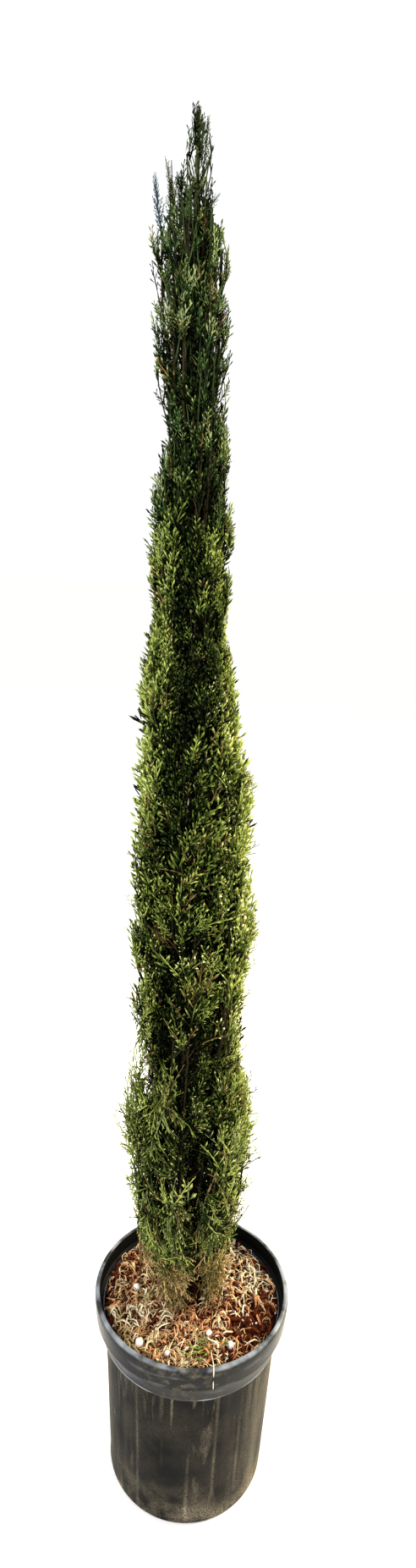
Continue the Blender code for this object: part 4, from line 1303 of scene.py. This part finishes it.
def spray_shape(seed, shoots, rings, radius, shoot_length, shoot_width, curl, all_round):
    """A spray one unit long: a curved spine with shoots to both sides or all round.

    Gives its corners, its triangles, and whether each triangle is inside (0), on the
    body (1) or at the tip of a shoot (2)."""
    rng = random.Random(seed)
    swing = rng.uniform(-1, 1) * curl
    ripple = rng.uniform(1.0, 1.8) * math.pi

    def spine(share):
        return Vector((swing * share**2, math.sin(share * ripple) * 0.4 * curl * share, share))

    path = [[spine(share) for share in even(rings)]]
    points, triangles = tubes(path, tapers(1, rings, radius, radius * 0.4))
    heights = points[0][triangles][:, :, 2].mean(axis=1)
    corners, faces, levels = [points[0]], [triangles], [(heights > 0.40).astype(int)]
    base, base_faces = spindle_shape()
    at_tip = base[base_faces][:, :, 2].mean(axis=1) > 0.5
    start = len(points[0])
    for i in range(shoots):
        share = mixed(0.08, 0.88, i / (shoots - 1))
        length = mixed(shoot_length, shoot_length * 0.50, share) * rng.uniform(0.85, 1.2)
        angle = mixed(0.72, 0.36, share) + rng.uniform(-0.12, 0.12)
        turn = SHOOT_TURN * i if all_round else math.pi * i + rng.uniform(-0.5, 0.5)
        side = math.sin(angle)
        way = Vector((side * math.cos(turn), side * math.sin(turn), math.cos(angle)))
        stretch = Vector((shoot_width, shoot_width * 0.8, length))
        turned = np.array(way.to_track_quat("Z", "Y").to_matrix())
        corners.append(base * np.array(stretch) @ turned.T + np.array(spine(share)))
        faces.append(base_faces + start)
        levels.append(at_tip + int(share > 0.30))
        start += len(base)
    return np.concatenate(corners), np.concatenate(faces), np.concatenate(levels)


def spray_shapes():
    """All the spray shapes, in the order of their numbers."""
    return [
        spray_shape(seed + i, *measures)
        for numbers, seed, *measures in SPRAY_KINDS
        for i in range(len(numbers))
    ]


def spray_groups(sprays):
    """The sprays as groups of copies, one for each shape."""
    groups = []
    for kind, (corners, faces, levels) in enumerate(spray_shapes()):
        chosen = [spray[1:] for spray in sprays if spray[0] == kind]
        if chosen:
            places, turns, sizes, greens = zip(*chosen)
            points = copies(corners, places, turns, sizes)
            groups.append((points, faces, np.array(greens)[:, levels]))
    return groups


# Operators


def turned_profile(bm, profile, steps):
    """Turn a profile of (radius, height) round Z into a closed solid."""
    verts = [bm.verts.new((radius, 0.0, height)) for radius, height in profile]
    edges = [bm.edges.new(pair) for pair in zip(verts, verts[1:])]
    bmesh.ops.spin(
        bm,
        geom=[*verts, *edges],
        axis=UP,
        cent=(0, 0, 0),
        angle=2 * math.pi,
        steps=steps,
        use_merge=True,
    )
    bmesh.ops.remove_doubles(bm, verts=bm.verts, dist=0.00001)
    bmesh.ops.recalc_face_normals(bm, faces=bm.faces)


def arc(centre, radius, first, last, steps):
    """Points of (radius, height) along an arc between two angles in degrees."""
    angles = [math.radians(mixed(first, last, share)) for share in even(steps + 1)]
    return [(centre[0] + radius * math.cos(a), centre[1] + radius * math.sin(a)) for a in angles]


def wall_radius(pot, z):
    """The wall's outer radius under the band."""
    share = z / (pot.height - INNER_STEP)
    return mixed(pot.base_radius, pot.wall_top_radius, share)


def inner_radius(pot, z):
    """The pot's inner radius at a height."""
    top = pot.height - INNER_STEP
    if z >= top:
        return pot.lip_inner_radius
    low = pot.base_radius - pot.wall - pot.flute_depth
    return mixed(low, pot.lip_inner_radius - 0.006, z / top)


def pot_profile(pot):
    """The pot's closed section, from the mouth over the lip and down the wall."""
    top = pot.height
    under_lip = top - pot.lip_depth
    under_band = under_lip - pot.band_depth
    lip = pot.lip_radius
    mouth = pot.lip_inner_radius
    profile = arc((mouth + MOUTH_ROUND, top - MOUTH_ROUND), MOUTH_ROUND, 180, 90, 4)
    profile += arc((lip - LIP_ROUND, top - LIP_ROUND), LIP_ROUND, 90, 0, 9)
    profile += [(lip, top - 0.010), (lip - 0.0007, top - 0.022), (lip - 0.0018, under_lip + 0.0016)]
    profile += arc((lip - 0.0032, under_lip + EDGE_ROUND), EDGE_ROUND, 0, -90, 3)
    band = pot.band_radius
    profile += [(band + 0.0010, under_lip), (band + 0.0004, under_lip - 0.001)]
    profile += arc((band - EDGE_ROUND, under_band + EDGE_ROUND), EDGE_ROUND, 0, -90, 3)
    heights = [mixed(under_band - 0.0008, 0.012, share) for share in even(25)]
    profile += [(wall_radius(pot, z), z) for z in heights]
    profile += arc((pot.base_radius - FOOT_ROUND, FOOT_ROUND), FOOT_ROUND, -10, -90, 5)
    profile += [(0.060, 0.0), (0.0, 0.0), (0.0, pot.floor), (0.060, pot.floor)]
    profile += [(inner_radius(pot, pot.floor), pot.floor)]
    step = top - INNER_STEP
    profile += [(inner_radius(pot, z), z) for z in (0.1, 0.2, step - 0.001)]
    profile += [(mouth, step + 0.003)]
    return profile + [profile[0]]


def sink_flutes(pot, bm):
    """Sink upright panels with quick flanks into the wall, fading at its ends."""
    top = pot.height - pot.lip_depth - pot.band_depth
    for vert in bm.verts:
        rho = vert.co.xy.length
        if rho < wall_radius(pot, vert.co.z) - 0.0005 or not FLUTES_FROM < vert.co.z < top:
            continue
        wave = math.cos(pot.flutes * math.atan2(vert.co.y, vert.co.x) + FLUTE_TURN)
        panel = 0.5 - 0.5 * math.tanh(FLANK_PITCH * wave) / math.tanh(FLANK_PITCH)
        from_end = min(top - vert.co.z, vert.co.z - FLUTES_FROM)
        fade = min(1.0, from_end / FLUTE_FADE)
        vert.co.xy *= 1 - pot.flute_depth * panel * fade / rho


def drill_drain_holes(pot, item):
    """Cut the drain holes through the floor."""
    bm = bmesh.new()
    for i in range(pot.drain_holes):
        angle = 2 * math.pi * (i + 0.5) / pot.drain_holes
        bmesh.ops.create_cone(
            bm,
            cap_ends=True,
            segments=32,
            radius1=pot.drain_radius,
            radius2=pot.drain_radius,
            depth=0.02,
            matrix=Matrix.Translation(polar(pot.drain_circle, angle)),
        )
    cutter = into_scene("drain_cutter", mesh_from_bmesh("drain_cutter", bm))
    cut = item.modifiers.new("drain_holes", "BOOLEAN")
    cut.operation = "DIFFERENCE"
    cut.object = cutter
    bpy.context.view_layer.update()
    graph = bpy.context.evaluated_depsgraph_get()
    item.data = bpy.data.meshes.new_from_object(item.evaluated_get(graph))
    item.modifiers.clear()
    bpy.data.objects.remove(cutter, do_unlink=True)


class CYPRESS_OT_pot(bpy.types.Operator):
    """Make the moulded nursery pot with its rolled lip, band, flutes and drain holes"""

    bl_idname = "cypress.pot"
    bl_label = "Nursery Pot"

    def execute(self, context):
        pot = context.scene.cypress_pot
        bm = bmesh.new()
        turned_profile(bm, pot_profile(pot), 24 * pot.flutes)
        sink_flutes(pot, bm)
        place = {"slot": "pot", "nodes": ["nursery_pot"]}
        item = piece_from_bmesh("moulded_pot", bm, [black_polythene(pot)], **place)
        drill_drain_holes(pot, item)
        return {"FINISHED"}


def mix_height(mix, x, y):
    """The height of the potting mix's lumpy surface."""
    rho = math.hypot(x, y)
    fall = max(0.0, rho - mix.flat_radius) / (POT_TOP.x - 0.012 - mix.flat_radius)
    lumps = noise.noise(Vector((x * 55, y * 55, 1.7))) + 0.5 * noise.noise(Vector((x, y, 0.03)) * 150)
    return mix.level - mix.edge_drop * fall + mix.lump * 0.5 * lumps


class CYPRESS_OT_mix(bpy.types.Operator):
    """Make the body of the potting mix with its lumpy top"""

    bl_idname = "cypress.mix"
    bl_label = "Potting Mix"

    def execute(self, context):
        mix = context.scene.cypress_mix
        pot = context.scene.cypress_pot
        edge = mix.level - mix.edge_drop
        base = pot.floor + 0.0003
        wall = [(inner_radius(pot, z) - MIX_ROOM, z) for z in (edge, MIX_MIDDLE, base)]
        rim = wall[0][0]
        profile = [(rim * share, mix.level) for share in even(61)]
        profile += [(rim, edge - 0.004), *wall[1:], (0.0, base)]
        bm = bmesh.new()
        turned_profile(bm, profile, 200)
        for vert in bm.verts:
            if vert.co.z > edge - 0.002:
                vert.co.z = mix_height(mix, vert.co.x, vert.co.y)
        bmesh.ops.recalc_face_normals(bm, faces=bm.faces)
        # Peat and composted bark: dark, matt, crumbs of about 2 mm
        peat = grained("composted_peat", mix.peat, 2.0, 0.0012, 0.95, 0.55)
        place = {"slot": "potting_mix", "nodes": ["potting_mix"]}
        piece_from_bmesh("peat_surface", bm, [peat], **place)
        return {"FINISHED"}


def spot_on_mix(mix, rng):
    """A random spot on the mix, even over its area."""
    inner, outer = LITTER_RING
    rho = math.sqrt(rng.uniform(inner**2, outer**2))
    angle = rng.uniform(-math.pi, math.pi)
    x, y = rho * math.cos(angle), rho * math.sin(angle)
    return Vector((x, y, mix_height(mix, x, y)))


def wood_at(spot, rng):
    """The number of a piece's wood, by the part of the mix where it lies."""
    jitter = Vector((rng.gauss(0, 0.012), rng.gauss(0, 0.012)))
    here = spot.to_2d() + jitter
    region = min(MIX_REGIONS, key=lambda row: (here - Vector(row[:2])).length / row[2])
    return rng.choices(range(5), region[3])[0]


def only_one(_spot, _rng):
    """The number of a piece's material where all have the first."""
    return 0


def bare_patch(spot):
    """How bare the mix is at a spot: the patch at the right has few fibres."""
    return max(0.0, 1.0 - (spot.to_2d() - Vector(BARE_PATCH[:2])).length / BARE_PATCH[2])


def tumbled(rng, flat):
    """A random turn, nearly level where flat is near 1."""
    spread = 1.3 * (1 - flat) + 0.12
    tilt = Matrix.Rotation(rng.gauss(0, spread), 3, "X")
    roll = Matrix.Rotation(rng.gauss(0, spread), 3, "Y")
    spin = Matrix.Rotation(rng.uniform(0, 2 * math.pi), 3, "Z")
    return spin @ tilt @ roll


def chip_shape(seed):
    """A broken flake: a squared block with its corners knocked about."""
    rng = random.Random(seed)
    bm = bmesh.new()
    bmesh.ops.create_cube(bm, size=1.0)
    for vert in bm.verts:
        vert.co.x *= rng.uniform(0.55, 1.1)
        vert.co.y *= 0.62 * rng.uniform(0.5, 1.1)
        vert.co.z *= 0.22 * rng.uniform(0.5, 1.4)
    return arrays_of(bm)


def grain_shape(seed):
    """A rounded, slightly angular grain."""
    bm = bmesh.new()
    bmesh.ops.create_icosphere(bm, subdivisions=1, radius=0.5)
    for vert in bm.verts:
        vert.co *= 1 + 0.30 * noise.noise(vert.co * 3 + Vector((seed, 0, 0)))
    return arrays_of(bm)


def scattered(shapes, mix, count, sizes, wood, rng, flat, lift, bare=0.0):
    """Copies of small shapes strewn over the mix, fewer of them on its bare patch."""
    rows = [[] for _ in shapes]
    for _ in range(count):
        spot = spot_on_mix(mix, rng)
        if rng.random() < bare_patch(spot) * bare:
            continue
        size = mixed(*sizes, rng.random() ** 2.2)
        spot.z += lift * size
        row = (spot, np.array(tumbled(rng, flat)), size, wood(spot, rng))
        rows[rng.randrange(len(shapes))].append(row)
    groups = []
    for (corners, faces), row in zip(shapes, rows):
        if row:
            places, turns, lengths, kinds = zip(*row)
            groups.append((copies(corners, places, turns, lengths), faces, kinds))
    return groups


def strewn_fibres(mix, count, rng, lengths, thickness, lift):
    """Thin curved fibres lying over each other on the mix."""
    paths, radii, kinds = [], [], []
    while len(paths) < count:
        start = spot_on_mix(mix, rng)
        if rng.random() < bare_patch(start) * 1.4:
            continue
        heading = rng.uniform(0, 2 * math.pi)
        curl = rng.gauss(0, 0.55)
        length = mixed(*lengths, rng.random() ** 1.6)
        rise = rng.uniform(0.0, lift)
        path = [start + Vector((0, 0, rise * 0.4))]
        for k in range(1, 5):
            heading += curl
            point = path[-1] + polar(1, heading) * (length / 4)
            point.z = mix_height(mix, point.x, point.y) + rise * math.sin(k * 0.9) + 0.0008
            path.append(point)
        if all(point.to_2d().length < MIX_REACH for point in path):
            paths.append(path)
            thick = thickness * rng.uniform(0.5, 1.3)
            radii.append([thick * 0.6, thick, thick, thick * 0.8, thick * 0.3])
            kinds.append(wood_at(start, rng))
    return *tubes(paths, radii), kinds


def fallen_sprays(mix, rng):
    """Dry sprays that lie on the mix, and the green sprig at the front."""
    fallen = []
    for _ in range(mix.clippings):
        spot = spot_on_mix(mix, rng)
        if spot.x > 0.05 and rng.random() < 0.7:
            continue
        turn = rng.uniform(0, 2 * math.pi)
        way = polar(1, turn, rng.uniform(-0.05, 0.25)).normalized()
        if (spot + way * 0.03).to_2d().length > SPRAY_EDGE:
            way = Vector((-way.x, -way.y, way.z))
        length = rng.uniform(0.014, 0.034)
        spot.z += 0.0025
        fallen.append((rng.choice(STRANDS), spot, turn_to(way, UP), length, rng.choice(DRY_SPRAYS)))
    for turn, length in SPRIG:
        spot = Vector((SPRIG_FOOT[0], SPRIG_FOOT[1], mix.level + 0.004))
        way = polar(1, math.radians(turn), 0.12).normalized()
        fallen.append((rng.choice(FEATHERS), spot, turn_to(way, UP), length, SPRIG_GREENS))
    return spray_groups(fallen)


class CYPRESS_OT_litter(bpy.types.Operator):
    """Strew bark, wood shreds, fibres, perlite and fallen sprays over the mix"""

    bl_idname = "cypress.litter"
    bl_label = "Litter"

    def execute(self, context):
        mix = context.scene.cypress_mix
        foliage = context.scene.cypress_foliage
        rng = random.Random(LITTER_SEED)
        # Composted pine bark: red-brown, fibrous, matt
        woods = [grained("composted_bark", mix.bark_chip, 1.2, 0.0006, 0.85, 0.50)]
        # Shredded wood: tan to orange, stringy
        for name, colour, roughness, spread in (
            ("weathered_wood", mix.tan_wood, 0.80, 0.35),
            ("bleached_wood", mix.pale_wood, 0.78, 0.20),
            ("fresh_wood", mix.orange_wood, 0.80, 0.35),
            ("mossy_wood", mix.mossy_wood, 0.80, 0.35),
        ):
            woods.append(grained(name, colour, 0.8, 0.0003, roughness, spread))
        chips = [chip_shape(seed) for seed in range(6)]
        sizes = (0.0030, 0.0150)
        groups = scattered(chips, mix, mix.chips, sizes, only_one, rng, flat=0.60, lift=0.05)
        piece_from_arrays("bark_chips", groups, woods, slot="potting_mix")
        shreds = [(shape * (1.0, 0.34, 0.4), faces) for shape, faces in chips]
        sizes = (0.0060, 0.0260)
        ways = {"flat": 0.60, "lift": 0.18, "bare": 1.1}
        groups = scattered(shreds, mix, mix.shreds, sizes, wood_at, rng, **ways)
        piece_from_arrays("wood_shreds", groups, woods, slot="potting_mix")
        ways = {"lengths": (0.012, 0.036), "thickness": 0.00065, "lift": 0.012}
        fine = strewn_fibres(mix, mix.fibres, rng, **ways)
        ways = {"lengths": (0.014, 0.036), "thickness": 0.00130, "lift": 0.014}
        coarse = strewn_fibres(mix, mix.curls, rng, **ways)
        piece_from_arrays("wood_fibres", [fine, coarse], woods, slot="potting_mix")
        # Perlite: expanded volcanic glass, white and foamy
        perlite = grained("expanded_perlite", mix.white_grain, 0.6, 0.0005, 0.90, 0.08)
        grains = [grain_shape(seed) for seed in range(5)]
        sizes = (0.0014, 0.0060)
        groups = scattered(grains, mix, mix.perlite, sizes, only_one, rng, flat=0.2, lift=0.45)
        for (x, y, size), (corners, faces) in zip(LARGE_GRAINS, grains):
            spot = (x, y, mix_height(mix, x, y) + size * 0.45 + 0.003)
            groups.append((copies(corners, [spot], [np.eye(3)], [size]), faces, [0]))
        piece_from_arrays("perlite_grains", groups, [perlite], slot="potting_mix")
        greens = [scale_leaves(f"fallen_{name}", getattr(foliage, name)) for name in FALLEN_GREENS]
        piece_from_arrays("fallen_sprays", fallen_sprays(mix, rng), greens, slot="potting_mix")
        straw = [(*tubes([STRAW], [[0.0007] * len(STRAW)], 5), [0])]
        piece_from_arrays("straw_over_the_lip", straw, [woods[2]], slot="potting_mix")
        return {"FINISHED"}


def bark_relief(depth, lean_to):
    """How far the bark stands out: long fibrous ridges, with finer ones between."""

    def relief(centres, out, radii):
        made = np.empty(radii.shape)
        for index in np.ndindex(*radii.shape):
            way = Vector(out[index])
            height = centres[index][2]
            size = min(1.0, radii[index] / lean_to)
            coarse = noise.noise(Vector((way.x * 3.1, way.y * 3.1, height * 26)))
            fine = noise.noise(Vector((way.x * 8.0, way.y * 8.0, height * 60)))
            made[index] = depth * size * (0.75 * coarse + 0.45 * fine)
        return made

    return relief


class CYPRESS_OT_limbs(bpy.types.Operator):
    """Make the trunk and the boughs with the relief of their bark"""

    bl_idname = "cypress.limbs"
    bl_label = "Trunk and Boughs"

    def execute(self, context):
        limbs = context.scene.cypress_limbs
        # Cypress bark: thin, fibrous, in long shallow red-brown ridges about 3 mm wide
        looks = (3.0, 0.0012, 0.88, 0.40, (1, 1, 0.16), limbs.bark_furrow)
        bark = grained("fibrous_bark", limbs.bark, *looks)
        heights = [mixed(MIX_TOP - 0.004, TRUNK_TOP, share**1.15) for share in even(TRUNK_RINGS)]
        path = [[trunk_axis(z) for z in heights]]
        radii = [[trunk_radius(max(z, MIX_TOP)) for z in heights]]
        relief = bark_relief(limbs.ridge, TRUNK_RADIUS)
        groups = [(*tubes(path, radii, TRUNK_SIDES, relief), [0])]
        paths, nodes = [], ["trunk"]
        for column in COLUMNS:
            for number in range(len(column[2])):
                space, run, share = plume_plan(column, number)
                if share:
                    paths.append([plume_point(space, run, share * k) for k in even(BOUGH_RINGS)])
                    nodes.append(f"{column[0]}_bough_{number + 1}")
        radii = tapers(len(paths), BOUGH_RINGS, limbs.bough_radius, limbs.stem_radius)
        groups.append((*tubes(paths, radii, BOUGH_SIDES, relief), [0] * len(paths)))
        piece_from_arrays("trunk_and_boughs", groups, [bark], slot="bark", nodes=nodes)
        return {"FINISHED"}


def add_twigs(name, grown, limbs, materials, nodes):
    """The stems, branches and twigs of one part of the crown as one piece."""
    groups = []
    for kind, foot, tip in (
        ("stems", limbs.stem_radius, 0.0010),
        ("branches", limbs.branch_radius, 0.0007),
        ("twigs", limbs.twig_radius, 0.0005),
        ("strands", 0.0007, 0.0003),
    ):
        for length in sorted({len(path) for path, _ in grown[kind]}):
            paths, barks = zip(*[row for row in grown[kind] if len(row[0]) == length])
            groups.append((*tubes(paths, tapers(len(paths), length, foot, tip)), barks))
    piece_from_arrays(name, groups, materials, slot="bark", nodes=nodes)


class CYPRESS_OT_crown(bpy.types.Operator):
    """Grow the plumes, the leader and the hanging skirt: stems, branches, twigs and sprays"""

    bl_idname = "cypress.crown"
    bl_label = "Foliage"

    def execute(self, context):
        foliage = context.scene.cypress_foliage
        limbs = context.scene.cypress_limbs
        greens = [scale_leaves(name, getattr(foliage, name)) for name, _, _ in GREENS]
        # Young bark: thin, smooth and brown, bleached where a twig is bare, green on shoots
        barks = [
            grained(name, colour, 1.5, 0.0003, roughness, spread, (1, 1, 0.3))
            for name, colour, roughness, spread in (
                ("young_bark", limbs.twig_bark, 0.80, 0.30),
                ("bleached_twig", limbs.pale_twig, 0.80, 0.20),
                ("green_shoot", limbs.green_twig, 0.75, 0.30),
                ("dry_strand", limbs.dry_strand, 0.80, 0.45),
            )
        ]
        plants = []
        for column in COLUMNS:
            for part, numbers in (("low", (0, 1)), ("high", (2, 3, 4))):
                grown = new_growth(foliage)
                for number in numbers:
                    grow_column_plume(column, number, grown)
                nodes = [f"{column[0]}_plume_{number + 1}" for number in numbers]
                plants.append((f"{column[0]}_{part}", grown, nodes))
        plants.append(("leader", grow_leader(foliage), ["leader_plume"]))
        skirts = [f"skirt_plume_{i + 1}" for i in range(SKIRTS)]
        plants.append(("skirt", grow_curtains(foliage), skirts))
        for name, grown, nodes in plants:
            for spire in SPIRES:
                if spire[0] == name:
                    grow_spire(grown, spire)
            add_twigs(f"{name}_twigs", grown, limbs, barks, nodes)
            groups = spray_groups(grown["sprays"])
            piece_from_arrays(f"{name}_foliage", groups, greens, slot="foliage", nodes=nodes)
        return {"FINISHED"}


def soft_light(name, spot, size, power, colour):
    """A rectangular area light, level along its width, that faces the plant."""
    lamp = bpy.data.lights.new(name, "AREA")
    lamp.shape = "RECTANGLE"
    lamp.size, lamp.size_y = size
    lamp.energy = power
    lamp.color = colour
    made = into_scene(name, lamp)
    made.location = spot
    made.rotation_mode = "QUATERNION"
    made.rotation_quaternion = (LIT_POINT - spot).to_track_quat("-Z", "Y")


def add_camera():
    """The camera at the photograph's place, turn and focal length."""
    lens = bpy.data.cameras.new("camera")
    lens.sensor_width = SENSOR
    lens.lens = FOCAL_PIXELS / IMAGE_HEIGHT * SENSOR
    lens.clip_start = 0.02
    made = into_scene("camera", lens)
    turn_yaw = Matrix.Rotation(-CAMERA_YAW, 3, "Z")
    level = Matrix.Rotation(math.pi / 2 - CAMERA_PITCH, 3, "X")
    rolled = Matrix.Rotation(CAMERA_ROLL, 3, "Z")
    made.matrix_world = Matrix.Translation(EYE) @ (turn_yaw @ level @ rolled).to_4x4()
    bpy.context.scene.camera = made


class CYPRESS_OT_stage(bpy.types.Operator):
    """Set the pale floor, the white surroundings, the soft lights and the camera"""

    bl_idname = "cypress.stage"
    bl_label = "Stage"

    def execute(self, context):
        stage = context.scene.cypress_stage
        bm = bmesh.new()
        bmesh.ops.create_circle(
            bm,
            cap_ends=True,
            segments=96,
            radius=stage.floor_radius,
            matrix=Matrix.Translation((0, 0, -0.0005)),
        )
        # Matt white emulsion on board
        paint = grained("matt_white_paint", stage.floor_colour, 3.0, 0.0001, 0.9, 0.01)
        floor = piece_from_bmesh("studio_floor", bm, [paint])
        world = bpy.data.worlds.new("white_surroundings")
        world.use_nodes = True
        sky = world.node_tree.nodes["Background"]
        sky.inputs["Color"].default_value = rgba(stage.sky_colour)
        sky.inputs["Strength"].default_value = stage.sky_strength
        context.scene.world = world
        soft_light("key_light", KEY_PLACE, (1.8, 0.4), stage.key_power, (1.0, 1.0, 1.0))
        soft_light("rim_light", RIM_PLACE, (1.3, 1.3), stage.rim_power, stage.rim_colour)
        context.scene.view_settings.view_transform = "Standard"
        add_camera()
        return {"FINISHED"}


SETTINGS = (
    ("cypress_pot", PotSettings, "Pot"),
    ("cypress_mix", MixSettings, "Mix"),
    ("cypress_limbs", LimbSettings, "Limbs"),
    ("cypress_foliage", FoliageSettings, "Foliage"),
    ("cypress_stage", StageSettings, "Stage"),
)
OPERATORS = (
    CYPRESS_OT_pot,
    CYPRESS_OT_mix,
    CYPRESS_OT_litter,
    CYPRESS_OT_limbs,
    CYPRESS_OT_crown,
    CYPRESS_OT_stage,
)


class CYPRESS_PT_sidebar(bpy.types.Panel):
    """The settings and the operators of the cypress"""

    bl_idname = "CYPRESS_PT_sidebar"
    bl_label = "Potted Cypress"
    bl_space_type = "VIEW_3D"
    bl_region_type = "UI"
    bl_category = "Cypress"

    def draw(self, context):
        for name, settings, label in SETTINGS:
            box = self.layout.box()
            box.label(text=label)
            for key in settings.__annotations__:
                box.prop(getattr(context.scene, name), key)
        for operator in OPERATORS:
            self.layout.operator(operator.bl_idname)


def register():
    """Register the settings, the operators and the panel."""
    for name, settings, _ in SETTINGS:
        bpy.utils.register_class(settings)
        setattr(bpy.types.Scene, name, PointerProperty(type=settings))
    for operator in OPERATORS:
        bpy.utils.register_class(operator)
    bpy.utils.register_class(CYPRESS_PT_sidebar)


def unregister():
    """Take them away again."""
    bpy.utils.unregister_class(CYPRESS_PT_sidebar)
    for operator in reversed(OPERATORS):
        bpy.utils.unregister_class(operator)
    for name, settings, _ in reversed(SETTINGS):
        delattr(bpy.types.Scene, name)
        bpy.utils.unregister_class(settings)


def main():
    """Make the stage and every piece."""
    register()
    bpy.ops.cypress.stage()
    bpy.ops.cypress.pot()
    bpy.ops.cypress.mix()
    bpy.ops.cypress.litter()
    bpy.ops.cypress.limbs()
    bpy.ops.cypress.crown()


if __name__ == "__main__":
    main()
